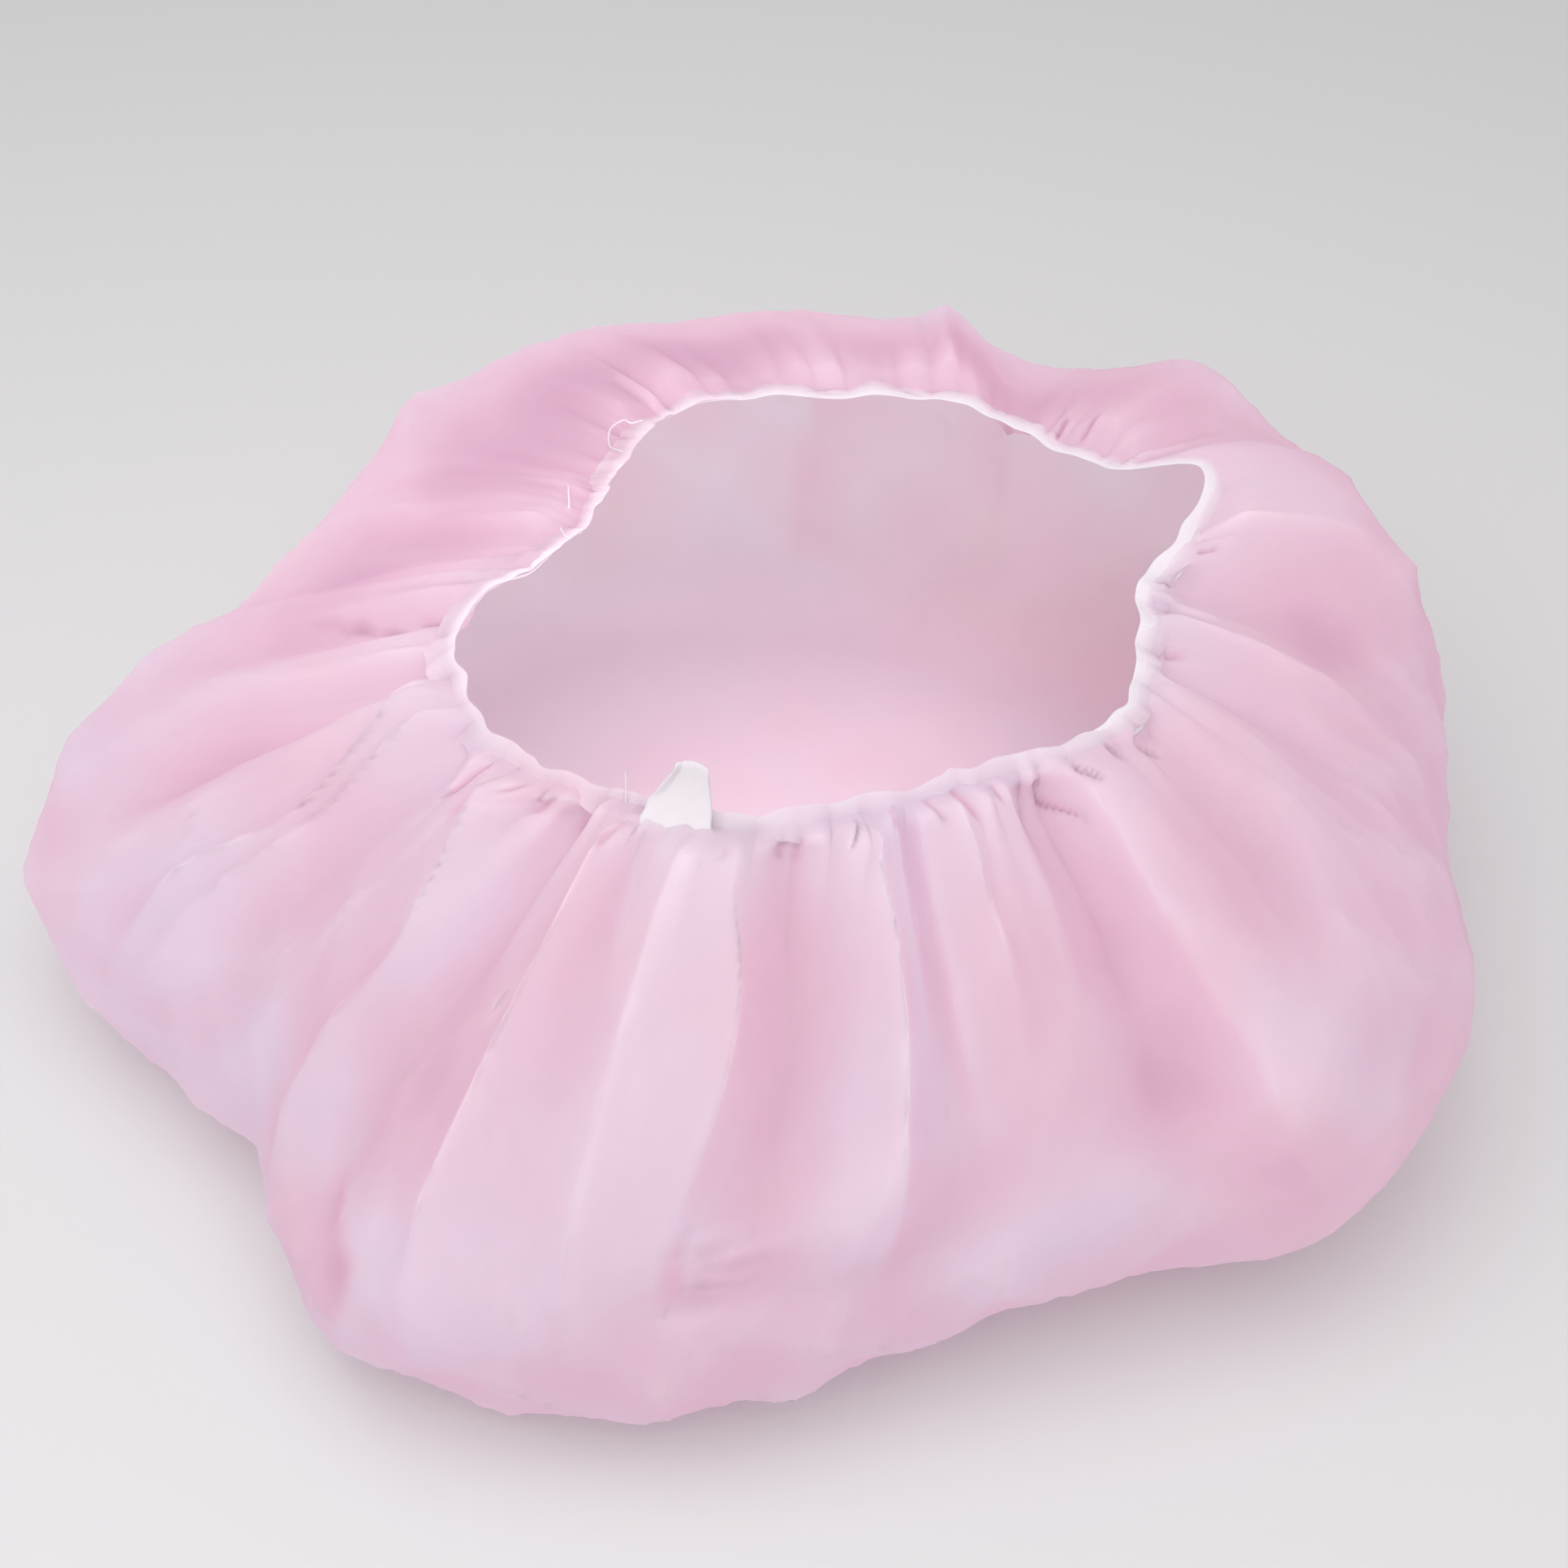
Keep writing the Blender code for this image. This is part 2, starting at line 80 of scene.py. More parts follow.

# %% [markdown]
# The outline, read off in each direction
# A crumpled cap has no formula, so its outline is a short table: one row for each direction,
# with shares of the named sizes. A smooth closed curve runs through each column.

# %% The table of sections
SECTION_COLUMNS = (
    "azimuth", "reach", "belly", "foot", "open", "height", "rise", "side", "shoulder", "swell", "edge",
)
SECTIONS = np.array([
    (0, 0.95, 0.45, 0.66, 0.78, 0.98, 25, 0.6, 0.65, 0.04, 0.45),
    (14, 1, 0.48, 0.66, 0.95, 1, 22, 0.65, 0.7, 0.06, 0.45),
    (25, 1.02, 0.5, 0.66, 1.1, 1.04, 20, 0.69, 0.7, 0.05, 0.4),
    (32, 1.03, 0.5, 0.66, 0.94, 1.02, 18, 0.72, 0.71, 0.07, 0.39),
    (40, 1.04, 0.5, 0.66, 0.92, 0.99, 14, 0.75, 0.72, 0.1, 0.38),
    (50, 1.03, 0.5, 0.68, 0.92, 0.98, 12, 0.75, 0.72, 0.11, 0.34),
    (60, 0.96, 0.5, 0.7, 0.96, 0.98, 12, 0.75, 0.72, 0.08, 0.32),
    (72, 0.99, 0.5, 0.7, 1.01, 0.98, 12, 0.75, 0.72, 0.11, 0.35),
    (90, 1, 0.5, 0.7, 0.98, 0.98, 12, 0.75, 0.72, 0.11, 0.42),
    (110, 1, 0.5, 0.7, 1.02, 0.98, 14, 0.75, 0.72, 0.11, 0.2),
    (123, 0.98, 0.48, 0.7, 0.98, 0.98, 16, 0.72, 0.68, 0.09, 0.14),
    (134, 0.94, 0.45, 0.7, 0.87, 0.98, 19, 0.69, 0.64, 0.06, 0.1),
    (145, 0.87, 0.42, 0.72, 0.8, 0.98, 22, 0.65, 0.6, 0.04, 0.1),
    (160, 0.85, 0.4, 0.72, 0.76, 0.97, 25, 0.6, 0.6, 0.01, 0.1),
    (174, 0.97, 0.36, 0.78, 0.84, 0.97, 30, 0.55, 0.55, -0.02, 0.1),
    (190, 0.97, 0.32, 0.82, 1.01, 0.98, 35, 0.5, 0.5, -0.05, 0.1),
    (205, 0.87, 0.3, 0.84, 1.06, 0.98, 40, 0.48, 0.48, -0.08, 0.08),
    (222, 0.82, 0.28, 0.84, 1.11, 0.99, 44, 0.45, 0.46, -0.11, 0.06),
    (238, 0.94, 0.26, 0.86, 1.04, 0.98, 46, 0.42, 0.45, -0.13, 0.06),
    (257, 0.94, 0.25, 0.86, 1.01, 0.98, 48, 0.42, 0.45, -0.14, 0.06),
    (270, 0.91, 0.27, 0.82, 0.92, 0.98, 47, 0.42, 0.45, -0.13, 0.08),
    (282, 0.87, 0.3, 0.76, 0.88, 0.98, 44, 0.44, 0.46, -0.11, 0.09),
    (292, 0.86, 0.33, 0.71, 0.86, 0.98, 41, 0.46, 0.48, -0.09, 0.11),
    (303, 0.9, 0.37, 0.66, 0.86, 0.98, 38, 0.5, 0.5, -0.06, 0.18),
    (312, 0.98, 0.4, 0.63, 0.88, 0.98, 36, 0.52, 0.52, -0.04, 0.24),
    (322, 1, 0.42, 0.62, 0.87, 0.97, 34, 0.55, 0.55, -0.02, 0.3),
    (338, 0.98, 0.42, 0.64, 0.8, 0.96, 30, 0.55, 0.6, 0, 0.42),
    (350, 0.93, 0.44, 0.64, 0.78, 0.97, 27, 0.55, 0.62, 0.03, 0.46),
])


def unit(vectors):
    """Each vector divided by its own length."""
    return vectors / np.linalg.norm(vectors, axis=-1, keepdims=True)


def smooth_step(value):
    """0 below 0, 1 above 1, and 3v^2 - 2v^3 between them."""
    value = np.clip(value, 0, 1)
    return value * value * (3 - 2 * value)


def degrees_from(place, azimuth):
    """Degrees from an azimuth to each place in radians, between -180 and 180."""
    return (np.degrees(place) - azimuth + 180) % 360 - 180


def section_value(azimuth, column):
    """A column of SECTIONS at each azimuth in radians: cubic Hermite pieces between the rows,
    whose slope at a row is the slope from the row before it to the row after it."""
    knots = np.radians(SECTIONS[:, 0])
    values = SECTIONS[:, SECTION_COLUMNS.index(column)]
    turn = 2 * np.pi
    knots = np.concatenate([knots[-2:] - turn, knots, knots[:2] + turn])
    values = np.concatenate([values[-2:], values, values[:2]])
    slopes = (values[2:] - values[:-2]) / (knots[2:] - knots[:-2])
    azimuth = np.mod(azimuth, turn)
    left = np.clip(np.searchsorted(knots, azimuth, side="right") - 1, 1, len(knots) - 3)
    span = knots[left + 1] - knots[left]
    t = (azimuth - knots[left]) / span
    start = (2 * t**3 - 3 * t**2 + 1) * values[left] + (t**3 - 2 * t**2 + t) * span * slopes[left - 1]
    end = (3 * t**2 - 2 * t**3) * values[left + 1] + (t**3 - t**2) * span * slopes[left]
    return start + end


print("sections read at", len(SECTIONS), "directions")

# %% [markdown]
# The rim
# The opening's edge is a closed curve at about one height. The hem slopes away from it, steeper
# at the front than at the back, and it ripples because the elastic pulls more cloth together
# than lies flat. That ripple is shared by every piece at the rim, so that they stay together.

# %% The rim and its ripple


def oval(azimuth, width, depth, reach, height):
    """A closed curve: an ellipse of a width and a depth, whose reach and height follow columns of
    the table."""
    reach = section_value(azimuth, reach)
    return np.stack([
        reach * width / 2 * np.cos(azimuth),
        reach * depth / 2 * np.sin(azimuth),
        section_value(azimuth, height) * CAP_HEIGHT,
    ], axis=-1)


def rim_edge(azimuth):
    """The edge of the opening."""
    edge = oval(azimuth, OPENING_WIDTH, OPENING_DEPTH, "open", "height")
    return edge + (OPENING_RIGHT, OPENING_BACK, 0)


def hem_axes(azimuth):
    """Unit vectors down the hem's face, away from the opening, and square to that face. Seen from
    above, the first is square to the rim's direction, taken evenly over HEM_EVENNESS degrees to
    each side. It slopes down by the table's rise."""
    step = np.radians(HEM_EVENNESS)
    along = unit((rim_edge(azimuth + step) - rim_edge(azimuth - step)) * LEVEL)
    outward = np.stack([along[..., 1], -along[..., 0], np.zeros_like(azimuth)], axis=-1)
    rise = np.radians(section_value(azimuth, "rise"))[..., None]
    down = outward * np.cos(rise) - UP * np.sin(rise)
    face = outward * np.sin(rise) + UP * np.cos(rise)
    return down, face


def gather(azimuth):
    """The broad ripple that the elastic pulls in: a cosine whose phase and strength wander."""
    phase = GATHER_COUNT * azimuth + 0.9 * np.sin(3 * azimuth) + 0.7 * np.sin(5 * azimuth + 1.0)
    strength = 0.75 + 0.25 * np.sin(4 * azimuth + 2.0)
    return strength * np.cos(phase)


def at_hem(azimuth, width, height):
    """A point by the hem: width down its face from the rim's edge, height off its cloth, plus
    the shared ripple, which grows from the edge to the stitches."""
    down, face = hem_axes(azimuth)
    width = np.broadcast_to(width, azimuth.shape)
    height = np.broadcast_to(height, azimuth.shape)
    share = HEM_EDGE_RIPPLE + (1 - HEM_EDGE_RIPPLE) * np.clip(width / HEM_WIDTH, 0, 1)
    lift = height + gather(azimuth) * GATHER_DEPTH * share
    return rim_edge(azimuth) + down * width[..., None] + face * lift[..., None]


# What the hem looks like in each direction: where the stitches run, as a share of its full width;
# how plainly they show as a line, 0 where the pleats run on over the hem; how ruffled its free
# edge is; how white that edge is, and how far the white reaches, in millimetres; and how busy the
# puckers below it are
RIM_COLUMNS = ("azimuth", "stitches", "seam", "ruffle", "white", "reach", "busy")
RIM = np.array([
    (0, 0.64, 0.2, 0.8, 0.6, 3.2, 0.45),
    (14, 0.66, 0.15, 0.7, 0.6, 3, 0.4),
    (30, 0.66, 0.15, 0.3, 0.8, 2.2, 0.35),
    (45, 0.6, 0.15, 0.6, 0.7, 2.4, 0.6),
    (58, 0.56, 0.15, 0.8, 0.6, 2.4, 0.7),
    (75, 0.62, 0.15, 0.3, 0.9, 2, 0.6),
    (100, 0.7, 0.1, 0.4, 0.8, 1.8, 0.7),
    (122, 0.74, 0.05, 0.6, 0.3, 2, 0.6),
    (140, 0.78, 0, 1, 0.1, 2, 0.7),
    (165, 0.9, 0, 0.8, 0.06, 3, 0.7),
    (185, 1, 0, 0.2, 0.15, 5, 0.6),
    (205, 0.98, 0, 0.1, 0.28, 6, 0.55),
    (218, 0.8, 0, 0.1, 0.3, 5, 0.6),
    (228, 0.66, 0, 0.9, 0.1, 3, 1),
    (240, 0.76, 0, 1.2, 0.12, 3, 1),
    (243.5, 0.8, 0, 1.2, 0.2, 3, 1),
    (248, 0.84, 0.1, 1.2, 1, 10, 1),
    (257, 0.8, 0.2, 1, 0.65, 6, 1),
    (264, 0.7, 0.5, 0.3, 0.25, 3.5, 1),
    (283, 0.5, 0.6, 0.2, 0.22, 3, 0.9),
    (295, 0.6, 0.5, 0.1, 0.35, 3, 0.7),
    (306, 0.72, 0.4, 0.1, 0.45, 3, 0.35),
    (315, 0.66, 0.3, 0.2, 0.5, 3, 0.25),
    (330, 0.7, 0.2, 0.6, 0.55, 3.6, 0.45),
    (345, 0.72, 0.2, 0.8, 0.6, 3.4, 0.45),
])


def rim_value(azimuth, column):
    """A column of RIM at each azimuth in radians, straight between the rows."""
    return np.interp(azimuth, np.radians(RIM[:, 0]), RIM[:, RIM_COLUMNS.index(column)], period=2 * np.pi)


def stitch_width(azimuth):
    """Distance of the stitches from the rim's edge, with a small unevenness from pleat to pleat."""
    uneven = 0.05 * np.cos(41 * azimuth) + 0.04 * np.cos(67 * azimuth + 1.0)
    return HEM_WIDTH * (rim_value(azimuth, "stitches") + uneven)


def overlap(azimuth):
    """How far the cap's cloth reaches in over the hem from the stitches: most where no seam shows,
    but never to the hem's free edge, which lies further out where the elastic shows."""
    seam = rim_value(azimuth, "seam")
    clear = CLEAR_EDGE + 0.6 * section_value(azimuth, "edge") * HEM_WIDTH
    return seam * HEM_OVERLAP + (1 - seam) * (stitch_width(azimuth) - clear)


around = np.radians(np.arange(0, 360, 1.0))
rim_length = np.linalg.norm(np.diff(rim_edge(around), axis=0), axis=1).sum()
print("rim length", round(float(rim_length) / MM), "mm")

# %% [markdown]
# The plain cap
# Before any fold, the cloth runs flat on the table, curves up round the underside to the widest
# point, the belly, and turns in over the shoulder to the stitches. Two Bezier curves carry it.

# %% The cloth with no folds


def bezier(a, b, c, d, t):
    """The cubic Bezier curve from a to d, pulled towards b and c."""
    s = 1 - t
    return s**3 * a + 3 * s**2 * t * b + 3 * s * t**2 * c + t**3 * d


def plain_cloth(azimuth, run):
    """The cap with no folds: run 0 at the middle of the crown, 1 at the row of stitches."""
    azimuth, run = np.broadcast_arrays(azimuth, run)
    down, _ = hem_axes(azimuth)
    rim = rim_edge(azimuth) + down * (stitch_width(azimuth) - overlap(azimuth))[..., None]
    belly = oval(azimuth, CAP_WIDTH, CAP_DEPTH, "reach", "belly")
    foot = belly * LEVEL * section_value(azimuth, "foot")[..., None]
    side = section_value(azimuth, "side")[..., None]
    shoulder = section_value(azimuth, "shoulder")[..., None]
    swell = section_value(azimuth, "swell")[..., None] * CAP_HEIGHT
    floor = foot * np.clip(run / FOOT_RUN, 0, 1)[..., None]
    t = np.clip((run - FOOT_RUN) / (BELLY_RUN - FOOT_RUN), 0, 1)[..., None]
    near_foot = foot + UNDERSIDE_ROUNDNESS * (belly - foot) * LEVEL
    underside = bezier(foot, near_foot, belly - UNDERSIDE_ROUNDNESS * belly * UP, belly, t)
    t = np.clip((run - BELLY_RUN) / (1 - BELLY_RUN), 0, 1)[..., None]
    near_rim = rim + shoulder * (belly - rim) * LEVEL + swell * UP
    upper = bezier(belly, belly + side * (rim - belly) * UP, near_rim, rim, t)
    run = run[..., None]
    return np.where(run < FOOT_RUN, floor, np.where(run < BELLY_RUN, underside, upper))


# %% [markdown]
# The main folds
# Gathered cloth hangs from its stitches in ridges and valleys. The eye reads each one as a lit
# side and a shaded side, so every fold that shows has its own row: where it starts and ends, how
# high and wide it is, to which side it leans, how crisp its crest is, how far its path hooks
# sideways at the rim and bows half way. A leaning fold also slides the cloth sideways, which
# steepens one flank until it nearly hangs over: that flank is in shade, and the other in light.
# The colour is also painted darker on the steep flank, as painted shade, and lighter on the
# gentle one, as painted light.

# %% The table of folds
FOLD_COLUMNS = ("outer", "rim", "outer_run", "depth", "width", "lean", "crisp", "hook", "bow")
FOLDS = np.array([
    (0, 4, 0.68, -0.75, 6, 0, 0.2, 0, 0),
    (13, 14, 0.6, 0.6, 6, -0.5, 0.5, 0, 0),
    (46, 42, 0.72, 0.5, 6, 0, 0, 0, 0),
    (63, 60, 0.74, -0.8, 6, 0.3, 0, 0, 0),
    (73, 72, 0.7, 0.6, 4, -0.5, 0.8, 0, 0),
    (82, 84, 0.8, -0.3, 3.5, 0, 0.3, 0, 0),
    (90, 94, 0.78, 0.3, 3.5, 0.4, 0.5, 0, 0),
    (97, 102, 0.8, -0.3, 3.5, 0, 0.3, 0, 0),
    (132, 136, 0.76, -0.6, 8, 0, 0, 0, 0),
    (152, 158, 0.72, 0.4, 5, 0.4, 0.4, 0, 0),
    (160, 166, 0.76, -0.45, 4, 0, 0.3, 0, 0),
    (172, 187, 0.74, -0.5, 4, 0, 0.4, 0, 0),
    (189, 203, 0.66, -0.85, 4.5, 0.2, 0.2, -6, 0),
    (197, 205, 0.68, 0.25, 5, 0, 0.2, -4, 0),
    (212, 219, 0.62, -0.6, 5, 0, 0.1, -3, 0),
    (226.4, 229.8, 0.56, 0.55, 5, -0.9, 1, -9.5, 0.6),
    (234.5, 237, 0.6, -1.05, 5.5, 0.2, 0, -3, 0.5),
    (245.3, 240.8, 0.58, 0.8, 5, -0.9, 0.9, 0, 0.4),
    (251, 245, 0.66, -0.5, 3, 0, 0.3, 0, 0),
    (256.7, 249.7, 0.58, 0.6, 4, -0.8, 0.9, 0, 0),
    (265.3, 257, 0.66, 0.7, 4.5, 0.9, 0.9, -1, 2.2),
    (271, 261.5, 0.64, -0.95, 3.8, -0.2, 0, -1.5, 1.5),
    (282.3, 272.6, 0.62, 0.85, 5, 0.9, 0.9, -0.5, 1.4),
    (287.5, 277, 0.6, -0.45, 3.6, 0, 0, 0, 0.5),
    (297, 286, 0.66, 0.35, 6, 0.4, 0.3, 0, 0),
    (304.5, 300.5, 0.52, -0.95, 4, -0.2, 0.1, -1.5, 0.8),
    (310.5, 307, 0.52, 0.45, 6.5, -0.8, 0.7, -2, -0.8),
    (324, 323, 0.74, -0.7, 5.5, 0.3, 0.1, 0, 0),
    (343, 341, 0.78, -0.55, 5.5, 0, 0, 0, 0),
    (353, 351, 0.7, 0.35, 4.5, -0.7, 0.4, 0, 0),
])

# %% Smaller creases, dents and short creases
# Smaller creases on top of the main folds, with the same columns
CREASES = np.array([
    (171, 186, 0.78, -0.26, 1.6, 0.3, 0.6, 0, 0),
    (184, 200, 0.84, -0.2, 1.6, 0.3, 0.5, 0, 0),
    (201.5, 208.8, 0.6, 0.42, 2, -0.8, 0.9, -4, 3.6),
    (205.6, 213.1, 0.62, 0.4, 1.8, -0.8, 0.9, -4, 1.8),
    (216, 221, 0.66, 0.2, 2.4, 0.5, 0.5, -2, 0),
    (231, 234, 0.8, 0.24, 3, 0.6, 0.4, -1, 0),
    (237, 238, 0.86, 0.16, 1.6, -0.5, 0.5, 0, 0),
    (250, 244.5, 0.86, 0.16, 1.4, 0.4, 0.6, 0, 0),
    (253.2, 247, 0.84, -0.18, 1.2, 0.4, 0.5, 0, 0),
    (259.5, 251.5, 0.86, 0.14, 1.4, 0.4, 0.6, 0, 0),
    (274, 265, 0.84, 0.16, 1.8, 0.5, 0.6, 0, 0),
    (285.6, 275.4, 0.8, 0.22, 1.4, 0.8, 0.8, 0, 0.6),
    (288.8, 278.4, 0.7, 0.28, 2.2, -0.8, 0.8, 0, 0),
    (294.4, 284.4, 0.76, 0.3, 2.2, 0.9, 0.9, 0, 0.8),
    (300.5, 296.5, 0.8, 0.2, 1.8, 0.6, 0.6, 0, 0),
    (76, 78, 0.74, -0.2, 1.6, 0.3, 0.6, 0, 0),
    (86, 88, 0.8, 0.18, 1.5, 0.5, 0.7, 0, 0),
    (94, 99, 0.8, 0.16, 1.5, -0.5, 0.7, 0, 0),
    (143, 148, 0.8, 0.16, 2.2, 0.3, 0.4, 0, 0),
    (156, 162, 0.76, -0.18, 2, 0, 0.4, 0, 0),
])

# Hollows and bumps away from the rim: azimuth, run, depth as for a fold, width in degrees and
# length in run
DENTS = np.array([
    (20, 0.72, -0.6, 9, 0.07),
    (50, 0.78, 0.4, 10, 0.09),
    (140, 0.7, -0.5, 10, 0.08),
    (234, 0.7, -0.45, 4.5, 0.07),
    (247, 0.66, 0.4, 5, 0.06),
    (266, 0.692, -0.6, 2.4, 0.016),
    (270, 0.715, 0.4, 2.8, 0.014),
    (277, 0.745, 0.4, 5, 0.035),
    (278, 0.675, -0.35, 8, 0.03),
    (296, 0.65, 0.35, 9, 0.07),
    (322, 0.68, -0.35, 8, 0.06),
])

# Short creases, each a straight line over the cloth as it shows: lane and run of its two ends,
# height and reach in millimetres, and how strong the painted shade on its right side is, on
# the way from the first end to the second, with fainter painted light on its left
TUCKS = np.array([
    (235.3, 0.705, 242.2, 0.672, 0.8, 8, 0.8),
    (242.2, 0.672, 240.6, 0.595, 0.8, 8, 0.8),
    (267.5, 0.73, 278, 0.706, 1, 9, 0.4),
    (278, 0.706, 283.5, 0.752, 1, 9, 0.4),
    (264.9, 0.728, 265.4, 0.69, 1.4, 4.5, 0.9),
    (265.6, 0.73, 269.8, 0.718, 1.2, 2.6, 0.6),
    (242.2, 0.836, 244.4, 0.848, 0.6, 2.5, 0.6),
    (301, 0.985, 304.2, 0.991, 0.1, 1.5, 0.7),
    (304.2, 0.991, 309.4, 0.976, 0.1, 1.5, 0.7),
    (250.8, 0.955, 252.6, 0.905, 0.6, 2.2, 0.9),
    (253.4, 0.95, 252.8, 0.91, 0.6, 2.2, -0.8),
    (226.8, 0.975, 219.5, 0.935, 0.4, 1.4, 1.3),
    (281, 0.975, 282.4, 0.945, 0.4, 1.4, 1.3),
    (29, 0.49, 31, 0.72, 1.6, 6, 0.6),
    (46, 0.52, 42.5, 0.78, 1.8, 7, -0.6),
    (64, 0.5, 67, 0.76, 1.7, 6, 0.6),
    (86, 0.47, 83.5, 0.76, 1.9, 7, -0.6),
    (107, 0.5, 104, 0.74, 1.7, 6, 0.6),
    (122, 0.48, 126.5, 0.76, 1.8, 7, 0.6),
    (148, 0.5, 145, 0.74, 1.5, 6, -0.6),
])
# Millimetres of cloth to a radian at the belly and at the stitches, and to a whole run
TUCK_GIRTH = ((BELLY_RUN, 1), (135, 68))
TUCK_LENGTH = 240

# %% Patches of colour and of painted shade
# Patches where the cloth is warmer, or cooler if negative, and where painted shade makes it
# darker, or painted light paler if negative: azimuth, run, width in degrees, length in run,
# warmth and depth of colour. The painted shade lies in valleys between folds and round the back
# near the rim; the painted light lies on panels between folds, the underside at the left and the inside.
TINTS_AND_PAINTED_SHADE = np.array([
    (238, 0.8, 5, 0.06, 1, 0.7),
    (232, 0.64, 6, 0.05, 0.9, 0.1),
    (229, 0.88, 4, 0.05, -0.9, -0.6),
    (247, 0.69, 6, 0.04, -0.9, -0.6),
    (254, 0.69, 4.5, 0.04, -0.7, -0.5),
    (248, 0.92, 5, 0.05, 0.4, 0.5),
    (259.5, 0.775, 3.5, 0.05, -0.9, -0.5),
    (265, 0.6, 12, 0.05, 0.2, 0.1),
    (271, 0.9, 5, 0.07, 0.8, 0.6),
    (272, 0.76, 4, 0.04, 0.7, 0.3),
    (222, 0.68, 9, 0.07, -0.8, -0.6),
    (203, 0.74, 8, 0.09, -0.9, -0.5),
    (207, 0.88, 6, 0.05, 0.4, 0.4),
    (190, 0.84, 5, 0.06, 0.6, 0.3),
    (181, 0.74, 8, 0.06, -0.9, -0.2),
    (200, 0.56, 30, 0.05, -0.5, -0.9),
    (286, 0.8, 4, 0.14, -0.7, -0.5),
    (295, 0.64, 10, 0.06, -0.9, -0.5),
    (295, 0.84, 7, 0.08, 0.7, 0.1),
    (310, 0.66, 6, 0.06, 0.8, 0.3),
    (321, 0.7, 7, 0.06, -0.8, -0.2),
    (318, 0.9, 6, 0.06, 0.7, 0.4),
    (335, 0.8, 8, 0.07, -0.4, 0.1),
    (345, 0.64, 12, 0.05, -0.6, 0.2),
    (2, 0.88, 9, 0.07, 0.9, 0.7),
    (22, 0.76, 10, 0.08, 0.8, 0.7),
    (45, 0.94, 16, 0.08, 0.1, 1.25),
    (75, 0.95, 14, 0.06, -0.2, 1.45),
    (100, 0.95, 14, 0.06, -0.3, 1.45),
    (122, 0.94, 14, 0.08, 0.1, 1.4),
    (145, 0.93, 12, 0.09, -0.2, 1.45),
    (163, 0.9, 8, 0.09, 0.2, 0.9),
    (110, 0.68, 60, 0.06, -0.5, -0.4),
    (132, 0.36, 45, 0.13, -0.2, -1.5),
    (50, 0.44, 20, 0.1, 0.9, 0),
    (90, 0.18, 300, 0.22, 0.4, -0.2),
])

# %% How a fold is shaped
LEAN_SLIDE = 0.45
HOOK_RUN = 0.82
BOW_RUN = 0.86
BOW_LENGTH = 0.070
STEEP_SIDE = 0.60
GENTLE_SIDE = 0.45
SHADE_REACH = 1.1
LIGHT_REACH = 1.5
CREST_SOFTNESS = 1.5
SHADE_FADE = 0.35
TUCK_PAST = 0.25
TUCK_END = 0.4


def rim_azimuth(lane):
    """Where a lane of cloth reaches the rim. A lane is named by its azimuth at the belly."""
    outer = FOLDS[:, FOLD_COLUMNS.index("outer")]
    bend = FOLDS[:, FOLD_COLUMNS.index("rim")] - outer
    return lane + np.interp(lane, np.radians(outer), np.radians(bend), period=2 * np.pi)


def lane_azimuth(lane, run):
    """A lane's azimuth at each run: straight out at the belly, then bending to its rim azimuth."""
    bent = np.clip((run - BELLY_RUN) / (1 - BELLY_RUN), 0, 1) ** FOLD_BEND
    return lane + (rim_azimuth(lane) - lane) * bent


def fold_shapes(table, lane, run):
    """Height, sideways slide and painted shade of a table's folds. Across, a fold is exp(-|x / width|^p),
    where p falls from 2 to 1.1 as the crest gets crisp, and the width is narrower on the side it
    leans to. Along, it rises from the stitches and fades out before its outer end. The slide
    moves the crest towards the lean. The painted shade passes softly over a crisp crest, from
    painted light on the gentle side, -exp(-|x|), to painted shade on the steep one, exp(-|x|)."""
    height = np.zeros(np.broadcast(lane, run).shape)
    slide = np.zeros_like(height)
    shade = np.zeros_like(height)
    hooked = np.clip((run - HOOK_RUN) / (1 - HOOK_RUN), 0, 1) ** 2
    bowed = np.exp(-(((run - BOW_RUN) / BOW_LENGTH) ** 2))
    for outer, _, outer_run, depth, width, lean, crisp, hook, bow in table:
        along = np.clip((1 - run) / (1 - outer_run), 0, 1)
        fade = smooth_step(along / FOLD_START) * smooth_step((1 - along) / FOLD_END)
        centre = outer - lean * LEAN_SLIDE * width + hook * hooked + bow * bowed
        across = degrees_from(lane, centre)
        side = np.where(across * lean > 0, 1 - STEEP_SIDE * abs(lean), 1 + GENTLE_SIDE * abs(lean))
        ridge = np.exp(-np.abs(across / (width * side)) ** (2 - 0.9 * crisp)) * fade
        height += depth * ridge
        slide += lean * LEAN_SLIDE * width * ridge
        # Painted shade on the steep flank and painted light on the gentle one
        past = smooth_step(across * np.sign(lean) / CREST_SOFTNESS + 0.5)
        dark = np.exp(-np.abs(across) / (width * SHADE_REACH)) * past
        light = np.exp(-np.abs(across) / (width * LIGHT_REACH)) * (1 - past)
        strength = np.sqrt(max(depth, 0)) * crisp * abs(lean) * smooth_step((1 - along) / SHADE_FADE)
        shade += strength * (dark - light) * smooth_step(along / FOLD_START)
    return height * FOLD_DEPTH, np.radians(slide), shade


# %% Dents, short creases and patches of colour


def bell(lane, run, azimuth, place, width, length):
    """A round bell over the cloth: exp(-x^2 - y^2), with x in azimuth and y in run."""
    return np.exp(-((degrees_from(lane, azimuth) / width) ** 2) - ((run - place) / length) ** 2)


def dent_height(lane, run):
    """Height of the dents, each of them a bell."""
    total = np.zeros(np.broadcast(lane, run).shape)
    for azimuth, place, depth, width, length in DENTS:
        total += depth * bell(lane, run, azimuth, place, width, length)
    return total * FOLD_DEPTH


